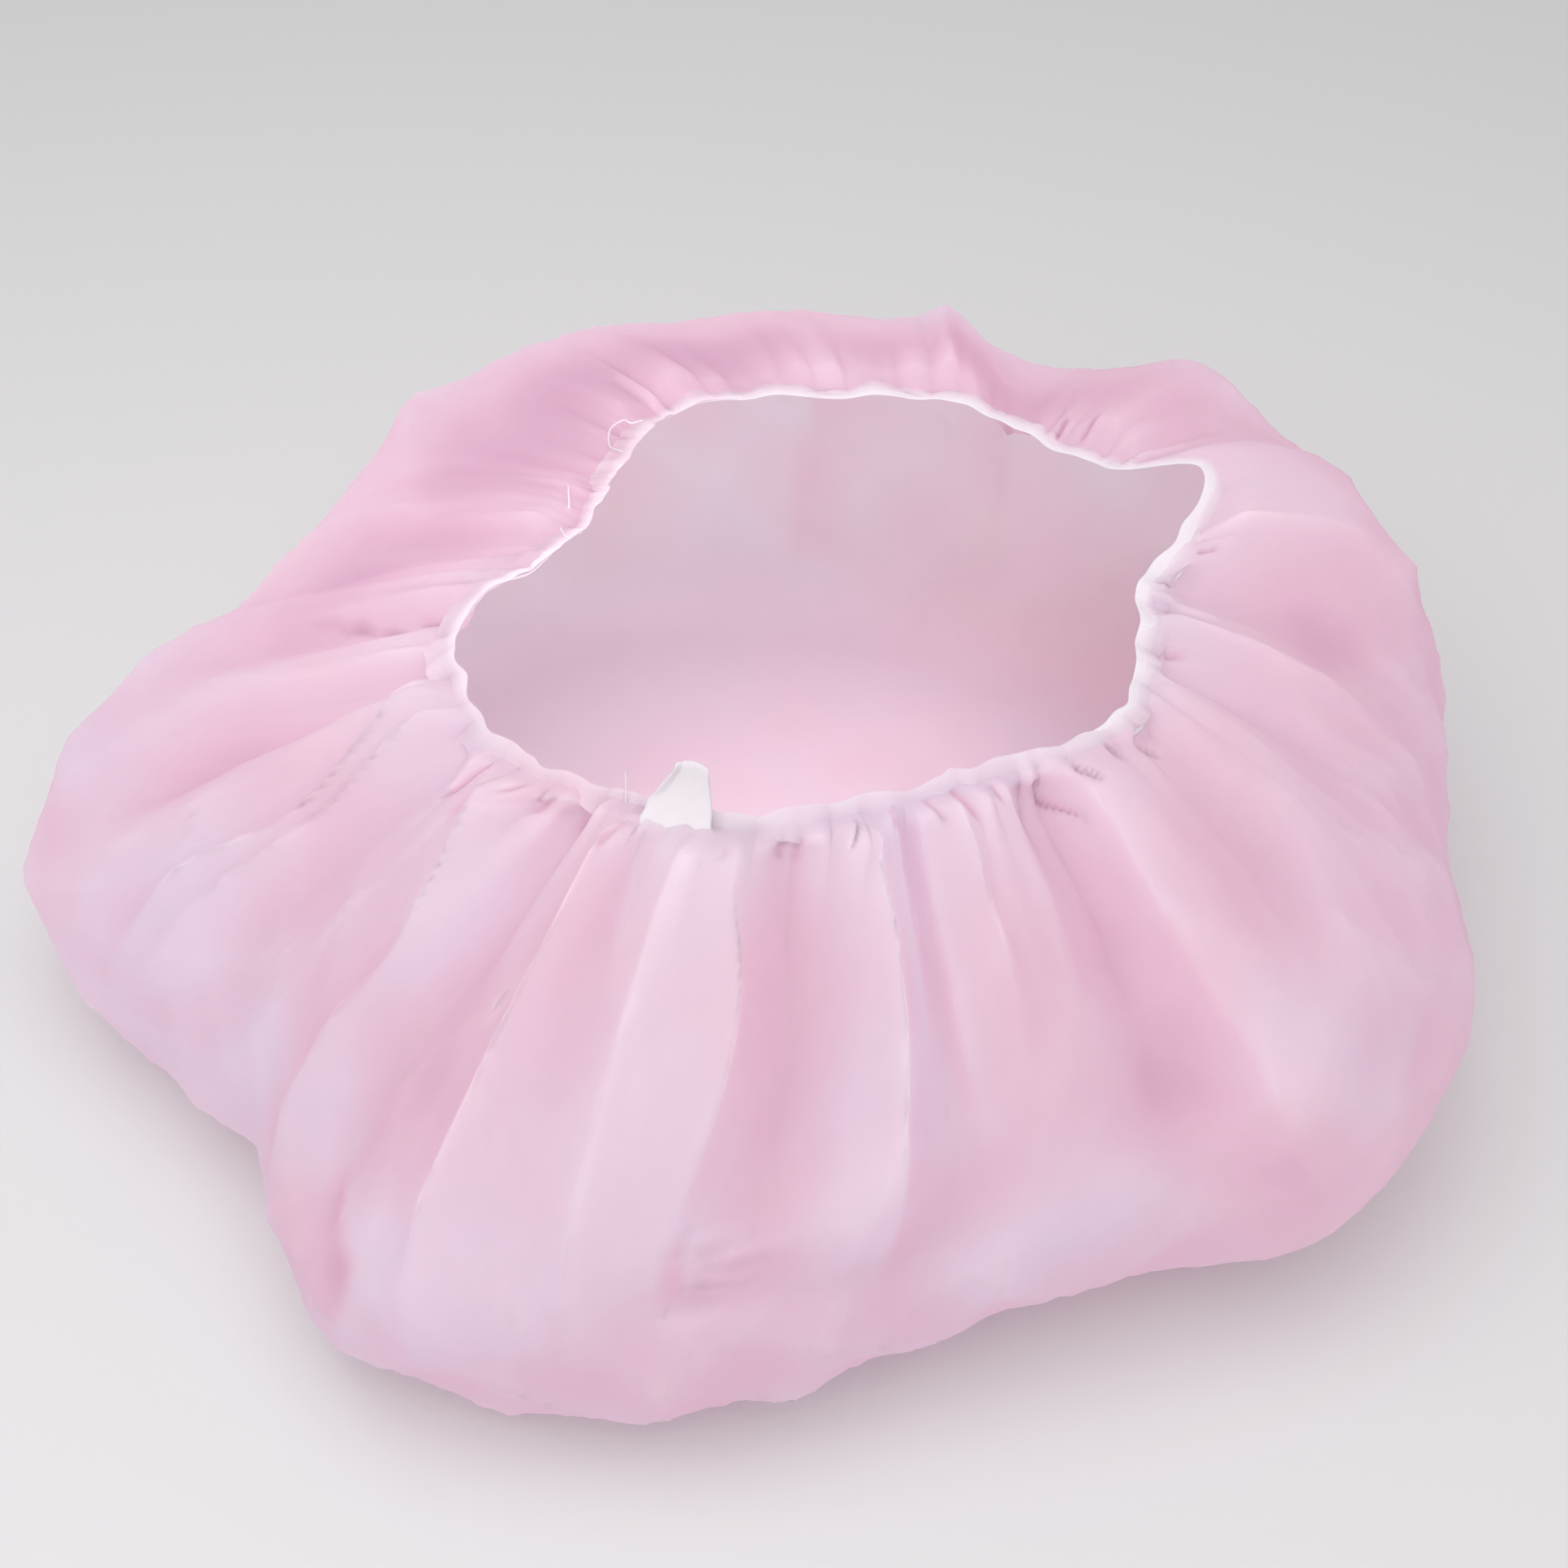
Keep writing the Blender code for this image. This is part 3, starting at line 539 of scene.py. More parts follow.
def tuck_shapes(lane, run):
    """Height and painted shade of the short creases. Both fall off with the distance from a straight line,
    measured in millimetres over the cloth, and past its ends."""
    girth = np.interp(run, *TUCK_GIRTH)
    height = np.zeros(np.broadcast(lane, run).shape)
    shade = np.zeros_like(height)
    for lane_a, run_a, lane_b, run_b, rise, reach, strength in TUCKS:
        far = np.interp([run_a, run_b], *TUCK_GIRTH).mean()
        line = np.array([np.radians(lane_b - lane_a) * far, (run_b - run_a) * TUCK_LENGTH])
        size = np.hypot(*line)
        along_x, along_y = line / size
        x = np.radians(degrees_from(lane, lane_a)) * girth
        y = (run - run_a) * TUCK_LENGTH
        along = (x * along_x + y * along_y) / size
        right = (x * along_y - y * along_x) * np.sign(strength)
        ends = smooth_step((along + TUCK_PAST) / TUCK_END) * smooth_step((1 + TUCK_PAST - along) / TUCK_END)
        height += rise * np.exp(-((right / reach) ** 2)) * ends
        # Painted shade on one side of the line and fainter painted light on the other
        fall = np.exp(-np.abs(right) / reach) * ends * abs(strength)
        shade += fall * (1.5 * smooth_step(right / (1.6 + 0.3 * reach) + 0.5) - 0.5)
    return height * MM, shade


def tint(lane, run):
    """Warmth of the cloth's colour, and the patches' painted shade, painted light where negative, where each
    patch is a bell.
    """
    warm = np.zeros(np.broadcast(lane, run).shape)
    patch_painted_shade = np.zeros_like(warm)
    for azimuth, place, width, length, warmth, depth in TINTS_AND_PAINTED_SHADE:
        patch = bell(lane, run, azimuth, place, width, length)
        warm += warmth * patch
        patch_painted_shade += depth * patch
    return np.clip(warm, -1, 1), patch_painted_shade


print(len(FOLDS), "main folds,", len(CREASES), "creases,", len(DENTS), "dents,", len(TUCKS), "tucks")

# %% [markdown]
# Puckers
# Right under the stitches the cloth stands up in small round tongues with narrow slits between
# them, because each stitch catches a little more cloth than it needs. Their widths, heights and
# lengths are drawn once from a fixed seed. A little further out the wrinkles merge: the finer
# they are, the sooner they die out.

# %% Puckers, slits and wandering wrinkles
PUCKER_COUNT = 62
PUCKER_HEIGHT = 2.6 * MM
PUCKER_RISE = 2 * MM
UNDER_HEM = 0.6 * MM
UNDER_LENGTH = 1.2 * MM
FINE_GATHERS = 118
FINE_DEPTH = 0.7 * MM
PLEAT_DEPTH = 1.3 * MM
PUCKER_SOFTENING = 14 * MM
PLEAT_LENGTH = 9 * MM
WRINKLE_START = 5 * MM
RIM_RADIUS = 68 * MM
PUCKER_SEED = 11
WRINKLE_SEED = 23
GATHER_SEED = 71
FINER_GATHER_SEED = 72
PLEAT_SEED = 82
WRINKLES = np.array([(18, 0.70, 50), (34, 0.45, 20), (62, 0.32, 10), (105, 0.20, 6)])

draw = np.random.default_rng(PUCKER_SEED)
pucker_edges = (np.arange(PUCKER_COUNT) + draw.uniform(-0.36, 0.36, PUCKER_COUNT)) / PUCKER_COUNT * 2 * np.pi
pucker_heights = draw.uniform(0.30, 1.0, PUCKER_COUNT)
pucker_lengths = draw.uniform(5, 20, PUCKER_COUNT) * MM
pucker_starts = draw.uniform(-0.95, -0.30, PUCKER_COUNT)

# %% Slits
# Slits and pockets between the pleats: azimuth at the stitches and at the outer end, distance from
# the stitches to the inner end, length, depth and width in millimetres
SLITS = np.array([
    (187, 181.5, -0.5, 24, 1.6, 0.45),
    (184.5, 184, 1, 4, 1.4, 0.6),
    (198, 199.5, -0.5, 5, 1.4, 0.6),
    (205, 203.5, 0, 12, 1.2, 0.5),
    (222.6, 221.6, -0.8, 10, 1.6, 0.45),
    (228.2, 227, -1, 4, 1.4, 0.55),
    (231.4, 231, 0.5, 3.5, 1.6, 1),
    (236.5, 236, -0.8, 5, 1.2, 0.7),
    (242, 241, -0.5, 7, 1.4, 0.7),
    (254.6, 254.4, 0, 3, 1.5, 0.8),
    (260.6, 260.2, 0, 3, 1.2, 0.7),
    (262.4, 262.8, -0.5, 4, 1, 0.5),
    (269.8, 268.4, -0.6, 6, 1.6, 0.45),
    (275, 275.6, -0.8, 4.5, 1.2, 0.7),
    (280.6, 282.6, -0.8, 6, 1.6, 0.6),
    (285, 286.6, -0.8, 6.5, 1.5, 0.8),
    (291, 292, -0.5, 4.5, 1.2, 0.6),
    (298.8, 305, 0.2, 10, 1.4, 0.4),
    (305.6, 308, -0.5, 5, 1.6, 0.6),
    (312.6, 314.2, -1, 3.5, 1.4, 0.6),
    (318.6, 322, 1, 4, 1.2, 0.6),
    (336.1, 338, 0, 3.5, 1.3, 0.45),
    (344.1, 345.4, 0, 3.5, 1.4, 0.45),
    (352.1, 353, -1, 3, 1.4, 0.5),
    (1.9, 2.6, -2, 3, 1.5, 0.7),
    (10, 10.6, -0.5, 2.5, 1.2, 0.5),
    (45, 45.4, -0.5, 4, 1.4, 0.7),
    (50, 50.6, -0.8, 4, 1.4, 0.7),
    (56.6, 56, -0.3, 4, 1.1, 0.7),
    (60.4, 60.4, -0.3, 3.5, 1.1, 0.7),
])


# %% The shapes under the hem


def pucker_shape(azimuth, softness):
    """Each tongue's own height times |sin|^softness across it, and which tongue it is."""
    turn = 2 * np.pi
    azimuth = np.mod(azimuth - pucker_edges[0], turn) + pucker_edges[0]
    place = np.searchsorted(pucker_edges, azimuth, side="right") - 1
    ends = np.append(pucker_edges, pucker_edges[0] + turn)
    t = (azimuth - ends[place]) / (ends[place + 1] - ends[place])
    return pucker_heights[place] * np.abs(np.sin(np.pi * t)) ** softness, place


def wander(azimuth, count, seed):
    """A smooth closed wave with about count bumps round the cap: seven neighbouring cosines."""
    random = np.random.default_rng(seed)
    total = np.zeros_like(azimuth)
    for harmonic in np.round(count * np.linspace(0.7, 1.3, 7)).astype(int):
        total += random.uniform(0.5, 1.0) * np.cos(harmonic * azimuth + random.uniform(0, 2 * np.pi))
    return total / 2.6


def fine_gather(azimuth):
    """Uneven fine gathers, rounded on top and narrow between, from 0 to 1."""
    phase = FINE_GATHERS / 2 * azimuth + 1.4 * wander(azimuth, 9, GATHER_SEED)
    phase += 0.6 * wander(azimuth, 27, FINER_GATHER_SEED)
    return np.abs(np.sin(phase)) ** 0.8


def rim_pleats(azimuth, share):
    """Lift that the hem and the cloth below it have in common: the tongues' own pleats and the
    fine gathers, weaker at the free edge (share 0) than at the stitches (share 1)."""
    shape, _ = pucker_shape(azimuth, 0.9)
    strength = rim_value(azimuth, "ruffle") * (0.75 + 0.25 * wander(azimuth, 13, PLEAT_SEED))
    fine = (fine_gather(azimuth) - 0.5) * FINE_DEPTH * strength
    return (shape * PLEAT_DEPTH + fine) * (0.30 + 0.70 * share)


def pucker(azimuth, beyond):
    """Height of the tongues. The shape across is round with narrow slits at the stitches and
    softens further out. Along, they rise over PUCKER_RISE and fade by their own length."""
    softness = 0.6 + 1.4 * smooth_step(beyond / PUCKER_SOFTENING)
    shape, place = pucker_shape(azimuth, softness)
    shape = shape * rim_value(azimuth, "busy")
    fade = np.exp(-np.maximum(beyond, 0) / pucker_lengths[place])
    start = pucker_starts[place] * overlap(azimuth)
    rise = smooth_step((beyond - start) / PUCKER_RISE)
    under = smooth_step((beyond - start) / UNDER_LENGTH + 1) - 1
    return shape * PUCKER_HEIGHT * fade * rise + under * UNDER_HEM


def slit_depth(azimuth, beyond):
    """Depth of the slits: a bell across, in millimetres on the rim, with short soft ends."""
    total = np.zeros(np.broadcast(azimuth, beyond).shape)
    for inner, outer, start, length, depth, width in SLITS:
        t = (beyond - start * MM) / (length * MM)
        centre = inner + (outer - inner) * np.clip(t, 0, 1)
        across = degrees_from(azimuth, centre) * np.pi / 180 * RIM_RADIUS
        ends = smooth_step(t / 0.15 + 0.5) * smooth_step((1 - t) / 0.4)
        total += depth * MM * np.exp(-((across / (width * MM)) ** 2)) * ends
    return total


def wrinkles(azimuth, beyond):
    """Wrinkles that fade with distance, the finer the sooner, and bend a little on their way."""
    total = np.zeros(np.broadcast(azimuth, beyond).shape)
    bend = 0.05 * np.sin(beyond / (22 * MM) + 3 * azimuth)
    for octave, (count, height, length) in enumerate(WRINKLES):
        wave = wander(azimuth + bend, count, WRINKLE_SEED + octave)
        total += height * MM * wave * np.exp(-beyond / (length * MM))
    return total * (0.3 + 0.7 * rim_value(azimuth, "busy"))


# %% [markdown]
# The finished surface
# All of that is added along the direction the cloth faces. Near the hem the direction turns to
# the hem's own, so that cloth and hem meet without a step, and nothing goes below the table.

# %% The cloth with everything on it
CRUMPLE_SEED = 5
CRUMPLE_WAVES = 8
CRUMPLE_START = 30 * MM
WHITE_SEED = 84
CRUMPLE_HEIGHT = 0.8 * MM
# Heights and depths that give a full step of painted shade, or painted light where raised: for the crumple,
# for hollows and for slits
CRUMPLE_SHADE_SCALE = 3.6 * MM
HOLLOW_SHADE_SCALE = 16 * MM
SLIT_SHADE_SCALE = 1.3 * MM
FINE_SHADE = 1.5
DENT_SHADE = 0.6
SLOPE_STEP = 1e-3
EVEN = np.array([0.0, 0.0, 0.0, 0.5])


def painted(white, shade, warm):
    """The four values painted on the cloth: how white it is, how dark its painted shade makes it
    from 0 to 2, how light its painted light makes it, and how warm, where 0.5 is even."""
    return np.stack([white, np.clip(shade, 0, 2), np.clip(-shade, 0, 1), 0.5 + 0.5 * warm], -1)


def whiteness(azimuth, width):
    """1 at a white edge, fading over its reach as the distance from the rim's edge grows. The
    reach is uneven, with small teeth where the fine gathers press the cloth together."""
    reach = rim_value(azimuth, "reach") * MM * (1 + 0.35 * wander(azimuth, 30, WHITE_SEED))
    reach = np.maximum(reach * (1.35 - 0.7 * fine_gather(azimuth)), 0.5 * MM)
    return rim_value(azimuth, "white") * np.exp(-np.maximum(width / reach, 0) ** 2)


def crumple(lane, run):
    """Faint crossing creases of the loose cloth: slanting cosines, each turned into soft cells
    with sharp valleys by 1 - 2 sqrt(|cos|)."""
    random = np.random.default_rng(CRUMPLE_SEED)
    total = np.zeros(np.broadcast(lane, run).shape)
    for _ in range(CRUMPLE_WAVES):
        turns = random.integers(5, 17)
        climb = random.uniform(-28, 28)
        start = random.uniform(0, 2 * np.pi)
        wave = np.cos(turns * lane + climb * run + start + 0.8 * np.sin(3 * lane + 9 * run))
        total += 1 - 2 * np.sqrt(np.abs(wave))
    return total * CRUMPLE_HEIGHT / 2


def cloth(lane, run):
    """The cap with folds, dents, puckers, wrinkles and ripple, kept on or above the table. Also
    the four values painted on it, among them the painted shade and painted light of its folds,
    hollows, slits and creases."""
    lane, run = np.broadcast_arrays(lane, run)
    fold, slide, shade = fold_shapes(FOLDS, lane, run)
    crease, crease_slide, crease_shade = fold_shapes(CREASES, lane, run)
    lane = lane + slide + crease_slide

    def plain(lane, run):
        return plain_cloth(lane_azimuth(lane, run), run)

    across = plain(lane + SLOPE_STEP, run) - plain(lane - SLOPE_STEP, run)
    outwards = plain(lane, np.minimum(run + SLOPE_STEP, 1)) - plain(lane, run - SLOPE_STEP)
    face = unit(np.cross(across, outwards))
    azimuth = rim_azimuth(lane)
    _, hem_face = hem_axes(azimuth)
    near_rim = smooth_step((run - NEAR_RIM) / (1 - NEAR_RIM))[..., None]
    face = unit(face + near_rim * (hem_face - face))
    upper = plain(lane, np.ones_like(run)) - plain(lane, np.full_like(run, BELLY_RUN))
    length = np.linalg.norm(upper, axis=-1)
    beyond = (1 - run) / (1 - BELLY_RUN) * length - overlap(azimuth)
    ripple = gather(azimuth) * GATHER_DEPTH * np.exp(-np.maximum(beyond, 0) / GATHER_LENGTH)
    width_share = np.clip((stitch_width(azimuth) + beyond) / HEM_WIDTH, 0, 1)
    ripple = ripple * (HEM_EDGE_RIPPLE + (1 - HEM_EDGE_RIPPLE) * width_share)
    share = np.clip(1 + beyond / stitch_width(azimuth), 0, 1)
    pleats = rim_pleats(azimuth, share) * np.exp(-np.maximum(beyond, 0) / PLEAT_LENGTH)
    slit = slit_depth(azimuth, beyond)
    fine = pucker(azimuth, beyond) + pleats - slit * smooth_step(1 + beyond / MM)
    fine = fine + wrinkles(azimuth, beyond) * smooth_step(beyond / WRINKLE_START)
    off_floor = smooth_step(OFF_FLOOR * (run - FOOT_RUN) / (BELLY_RUN - FOOT_RUN))
    loose = crumple(lane, run) * smooth_step(beyond / CRUMPLE_START)
    tuck, tuck_shade = tuck_shapes(lane, run)
    warm, patch_painted_shade = tint(lane, run)
    dent = dent_height(lane, run)
    lift = (fold + crease + tuck + dent + ripple + fine + loose) * off_floor
    points = plain(lane, run) + face * lift[..., None]
    points[..., 2] = np.maximum(points[..., 2], 0)
    # Painted shade in hollows, between puckers and wrinkles, in slits and in the crumple's valleys, with
    # painted light where the cloth is raised; it fades out on the flat floor
    hollow_shade = -(fold + crease + FINE_SHADE * fine + DENT_SHADE * dent) / HOLLOW_SHADE_SCALE
    shade = shade + crease_shade + tuck_shade + hollow_shade + slit / SLIT_SHADE_SCALE - loose / CRUMPLE_SHADE_SCALE
    # The patches add their painted shade, and painted light where negative, after that
    shade = shade * off_floor + patch_painted_shade
    return points, painted(whiteness(azimuth, stitch_width(azimuth) + beyond), shade, warm)


# %% [markdown]
# From rings of points to a mesh
# The rim is short and busy and the underside is long and calm, so the sheet is built in zones:
# each zone outwards has twice the columns of the one before, joined by a row of triangles and
# quads. Columns are packed a little closer at the front, where the finest folds are.

# %% Zones, rings of points and meshes
ZONES = (
    (160, np.linspace(0.04, FOOT_RUN, 9)),
    (320, np.linspace(FOOT_RUN, BELLY_RUN, 18)[1:]),
    (640, np.linspace(BELLY_RUN, 0.95, 37)[1:]),
    (1280, np.linspace(0.95, 1.0, 15)[1:]),
)
FRONT_PACKING = 0.32
CLOTH_TEXTURE = (0.135, 0.24)


def lane_of(share):
    """The lane of each column, from an even share of the turn: closer together at the front."""
    turn = share * 2 * np.pi
    return turn - FRONT_PACKING * np.sin(turn - 1.5 * np.pi)


def quad_grid(columns, rows, around, over):
    """The quads of a grid of points, row by row in each column. It closes on itself across the
    columns if around is true, and across the rows if over is true."""
    column, row = np.meshgrid(np.arange(columns - (not around)), np.arange(rows - (not over)), indexing="ij")
    after = (column + 1) % columns
    above = (row + 1) % rows
    corners = (column * rows + row, after * rows + row, after * rows + above, column * rows + above)
    return np.stack(corners, -1).reshape(-1, 4)


def nested_rings(surface, zones):
    """Vertices, quads and triangles of rings of points: surface(lane, run) gives a zone's grid."""
    vertices, faces, texture, shades = [], [], [], []
    base, columns, rows = 0, 0, 0
    for count, runs in zones:
        lane = lane_of(np.arange(count) / count)
        grid, shade = surface(lane[:, None], runs[None, :])
        vertices.append(grid.reshape(-1, 3))
        shades.append(shade.reshape(-1, 4))
        texture.append(np.stack(np.broadcast_arrays(lane[:, None], runs[None, :]), -1).reshape(-1, 2))
        start = base + columns * rows
        faces += (start + quad_grid(count, len(runs), True, False)).tolist()
        if columns:
            j = np.arange(columns)
            a = base + j * rows + rows - 1
            b = base + (j + 1) % columns * rows + rows - 1
            first = start + 2 * j * len(runs)
            middle = start + (2 * j + 1) * len(runs)
            last = start + (2 * j + 2) % count * len(runs)
            faces += np.stack([a, b, last, middle], -1).tolist()
            faces += np.stack([a, middle, first], -1).tolist()
        base, columns, rows = start, count, len(runs)
    return np.concatenate(vertices), faces, np.concatenate(texture), np.concatenate(shades)


def add_mesh(name, vertices, faces, texture, shades=None):
    """A smooth-shaded object with its place in its mesh. Each vertex has a UV in texture and the
    four painted values in shades, which are even if none are given."""
    if shades is None:
        shades = np.tile(EVEN, (len(vertices), 1))
    mesh = bpy.data.meshes.new(name)
    mesh.from_pydata(vertices.tolist(), [], faces)
    corner = np.empty(len(mesh.loops), np.int32)
    mesh.loops.foreach_get("vertex_index", corner)
    layer = mesh.uv_layers.new(name="cloth")
    layer.data.foreach_set("uv", texture[corner].astype(np.float32).ravel())
    layer = mesh.color_attributes.new(name="shades", type="FLOAT_COLOR", domain="POINT")
    layer.data.foreach_set("color", shades.astype(np.float32).ravel())
    mesh.shade_smooth()
    thing = bpy.data.objects.new(name, mesh)
    bpy.context.scene.collection.objects.link(thing)
    return thing


def give_wall(thing, thickness, offset):
    """A live Solidify modifier, which gives the sheet its wall."""
    wall = thing.modifiers.new("Wall", "SOLIDIFY")
    wall.thickness = thickness
    wall.offset = offset


# %% The crown
vertices, faces, lanes_and_runs, shades = nested_rings(cloth, ZONES)
columns, runs = ZONES[0]
middle = len(vertices)
vertices = np.concatenate([vertices, [[0, 0, 0]]])
inner = np.arange(columns) * len(runs)
faces += np.stack([np.full(columns, middle), np.roll(inner, -1), inner], -1).tolist()
texture = np.concatenate([lanes_and_runs * CLOTH_TEXTURE, [[0, 0]]])
shades = np.concatenate([shades, [EVEN]])
crown = add_mesh("crown_cloth", vertices, faces, texture, shades)
give_wall(crown, CLOTH_THICKNESS, -1)
print("crown:", len(faces), "faces")

# %% [markdown]
# The hem
# The hem is cloth folded over the elastic: a flat tube, fullest in its middle and pinched at the
# stitches, with fine gathers across it that are deepest at the stitches.

# %% The hem and the elastic
HEM_COLUMNS = 1440
HEM_FULLNESS = 0.45 * MM
HEM_MIDDLE = -0.1 * MM
EDGE_SCALLOP = 0.5 * MM
EDGE_WAVER = 0.55 * MM
# Pleat height with no painted shade, and the pleat depth that gives a full step of painted shade
EVEN_PLEAT = 0.6 * MM
PLEAT_SHADE_SCALE = 1.4 * MM
SECTION_POINTS = 28
ELASTIC_POINTS = 16
ELASTIC_WIDTH = 5.5 * MM
ELASTIC_THICKNESS = 0.6 * MM
ELASTIC_HIDDEN = 1.8 * MM
EDGE_STEP_LENGTH = 2.4
ROW_SPACING = 0.7 * MM
EDGE_SEED = 81
SCALLOP_SEED = 83
ELASTIC_EDGE_SEED = 91
ELASTIC_LIFT_SEED = 92
hem_columns = lane_of(np.arange(HEM_COLUMNS) / HEM_COLUMNS)


def ring_mesh(name, grid, shades=None):
    """A closed tube from a grid of points, columns round the cap and rows round the section."""
    columns, rows = grid.shape[:2]
    quads = quad_grid(columns, rows, True, True)
    along = np.cumsum(np.linalg.norm(np.diff(grid[:, 0], axis=0, prepend=grid[:1, 0]), axis=-1))
    texture = np.stack(np.broadcast_arrays(along[:, None], np.arange(rows) * ROW_SPACING), -1)
    if shades is not None:
        shades = shades.reshape(-1, 4)
    return add_mesh(name, grid.reshape(-1, 3), quads.tolist(), texture.reshape(-1, 2), shades)


# Steps in the free edge: azimuth, size in millimetres towards the opening, and the degrees over
# which it fades, counted to the right of the step, or to its left if negative
EDGE_STEPS = np.array([
    (226.5, 1.5, -7), (233.5, -0.8, 5), (259.2, 0.9, 6), (285.2, 1.4, 20), (150, 1.2, -5),
    (143, -1, -4), (123.5, 1.2, 6), (95, 0.8, 6), (78, -0.7, 6), (346, 1, -6),
])


def edge_offset(azimuth):
    """How far the free edge reaches into the opening, from the steps and a small waver."""
    total = EDGE_WAVER * wander(azimuth, 34, EDGE_SEED)
    for place, size, run in EDGE_STEPS:
        x = degrees_from(azimuth, place) * np.sign(run)
        total += size * MM * smooth_step(x / EDGE_STEP_LENGTH + 0.5) * np.exp(-np.maximum(x, 0) / abs(run))
    return -total


def hem_tube(azimuth):
    """The section of the hem at each azimuth: a flat loop round a middle line that rises and
    falls with the pleats. Also the four values painted on it, with painted shade deep between
    the pleats and in the slits, and painted light on the pleats' tops."""
    turn = np.linspace(0, 2 * np.pi, SECTION_POINTS, endpoint=False)
    upper_edge = section_value(azimuth, "edge") * HEM_WIDTH * 0.7 + edge_offset(azimuth)
    scallop = rim_value(azimuth, "ruffle") * (0.6 + 0.4 * wander(azimuth, 17, SCALLOP_SEED))
    upper_edge = upper_edge - EDGE_SCALLOP * scallop * (fine_gather(azimuth) - 0.6)
    lower_edge = stitch_width(azimuth)
    across = 0.5 - 0.5 * np.cos(turn)
    bulge = np.sign(np.sin(turn)) * np.abs(np.sin(turn)) ** 0.6
    points, shades = [], []
    for share, side in zip(across, bulge):
        width = upper_edge + share * (lower_edge - upper_edge)
        slit = slit_depth(azimuth, width - lower_edge)
        height = HEM_MIDDLE + rim_pleats(azimuth, share) + side * HEM_FULLNESS - 0.5 * slit * max(side, 0)
        points.append(at_hem(azimuth, width, height))
        # Painted shade between the pleats and in the slits, painted light on the pleats' tops
        shade = (EVEN_PLEAT - rim_pleats(azimuth, 1)) / PLEAT_SHADE_SCALE + slit / SLIT_SHADE_SCALE
        shades.append(painted(whiteness(azimuth, width), shade, np.zeros_like(shade)))
    return np.stack(points, axis=1)[:, ::-1], np.stack(shades, axis=1)[:, ::-1]


def elastic_strip(azimuth):
    """The flat white elastic: a rounded strip whose free edge is the edge of the opening, and
    which draws back under the hem where the edge column of the table is low."""
    turn = np.linspace(0, 2 * np.pi, ELASTIC_POINTS, endpoint=False)
    hidden = 1 - smooth_step((section_value(azimuth, "edge") - 0.15) / 0.15)
    inner = 0.3 * MM * wander(azimuth, 40, ELASTIC_EDGE_SEED) + ELASTIC_HIDDEN * hidden
    waver = 0.15 * MM * wander(azimuth, 48, ELASTIC_LIFT_SEED)
    points = []
    for angle in turn:
        share = 0.5 - 0.5 * np.cos(angle)
        width = inner * (1 - share) + share * ELASTIC_WIDTH
        height = HEM_MIDDLE - 0.5 * MM * hidden - 0.3 * MM * share + np.sin(angle) * ELASTIC_THICKNESS / 2
        points.append(at_hem(azimuth, width, height + waver))
    return np.stack(points, axis=1)[:, ::-1]


hem = ring_mesh("hem_casing", *hem_tube(rim_azimuth(hem_columns)))
elastic = ring_mesh("elastic_edge", elastic_strip(rim_azimuth(hem_columns[::2])))
print("hem:", len(hem.data.polygons), "faces, elastic:", len(elastic.data.polygons), "faces")

# %% [markdown]
# The label
# A short blank ribbon is caught in the hem at the front. It lies over the hem, stands past its
# edge and narrows to a rounded tip.

# %% The label
LABEL_AZIMUTH = 247.2
TAG_LENGTH = 14 * MM
TAG_THICKNESS = 0.4 * MM
LABEL_FOOT = 8.4 * MM
LABEL_COLUMNS = 25
LABEL_ROWS = 33
LABEL_TEXTURE = 10 * MM
LABEL_ON_HEM = 0.9
LABEL_HEIGHT = 2.2 * MM
LABEL_TIP_HEIGHT = 1.4 * MM
LABEL_TIP_NARROWER = 0.48
LABEL_FOOT_HEIGHT = 1.6 * MM
LABEL_FOOT_WIDER = 0.22
LABEL_FOOT_START = 1.5 * MM
LABEL_TUCK = 4.4 * MM
LABEL_TUCK_LENGTH = 2.4 * MM
LABEL_CURVE = 0.35 * MM
LABEL_LUMPS = 0.5 * MM
LABEL_ROLL = 0.9 * MM
LABEL_WIDTH = 11 * MM


def label(across, along):
    """A ribbon: across -1 to 1, along 0 at the stitches to 1 at the tip. It leans out and narrows
    to half past the rim's edge, mostly from its left, whose border is rolled up a little. Its
    foot flares a little and lies in small lumps, where the stitches gather it."""
    azimuth = np.full(np.broadcast(across, along).shape, np.radians(LABEL_AZIMUTH))
    speed = np.linalg.norm(rim_edge(azimuth + SLOPE_STEP) - rim_edge(azimuth), axis=-1) / SLOPE_STEP
    stands = TAG_LENGTH - LABEL_ON_HEM * HEM_WIDTH
    width = LABEL_FOOT - along * (LABEL_FOOT + stands)
    past = np.clip((0.8 * MM - width) / stands, 0, 1)
    foot = smooth_step((width - LABEL_FOOT_START) / (LABEL_FOOT - LABEL_FOOT_START))
    half = LABEL_WIDTH / 2 * (1 - LABEL_TIP_NARROWER * past + LABEL_FOOT_WIDER * foot)
    turned = azimuth + (across * half + 1.3 * MM * past) / speed
    down, face = hem_axes(turned)
    tucked = smooth_step((LABEL_FOOT - width) / LABEL_TUCK_LENGTH) - 1
    height = LABEL_HEIGHT + LABEL_FOOT_HEIGHT * foot + LABEL_TUCK * tucked + LABEL_TIP_HEIGHT * past**2
    height += LABEL_CURVE * np.cos(2 * across + 0.8) + LABEL_LUMPS * foot * np.cos(8 * across + 0.6)
    height += LABEL_ROLL * smooth_step((-across - 0.62) / 0.38) * smooth_step(past / 0.5)
    width = width + 0.9 * MM * across**2 * past + 0.7 * MM * foot * np.cos(5 * across + 2.0)
    return rim_edge(turned) + down * width[..., None] + face * height[..., None]


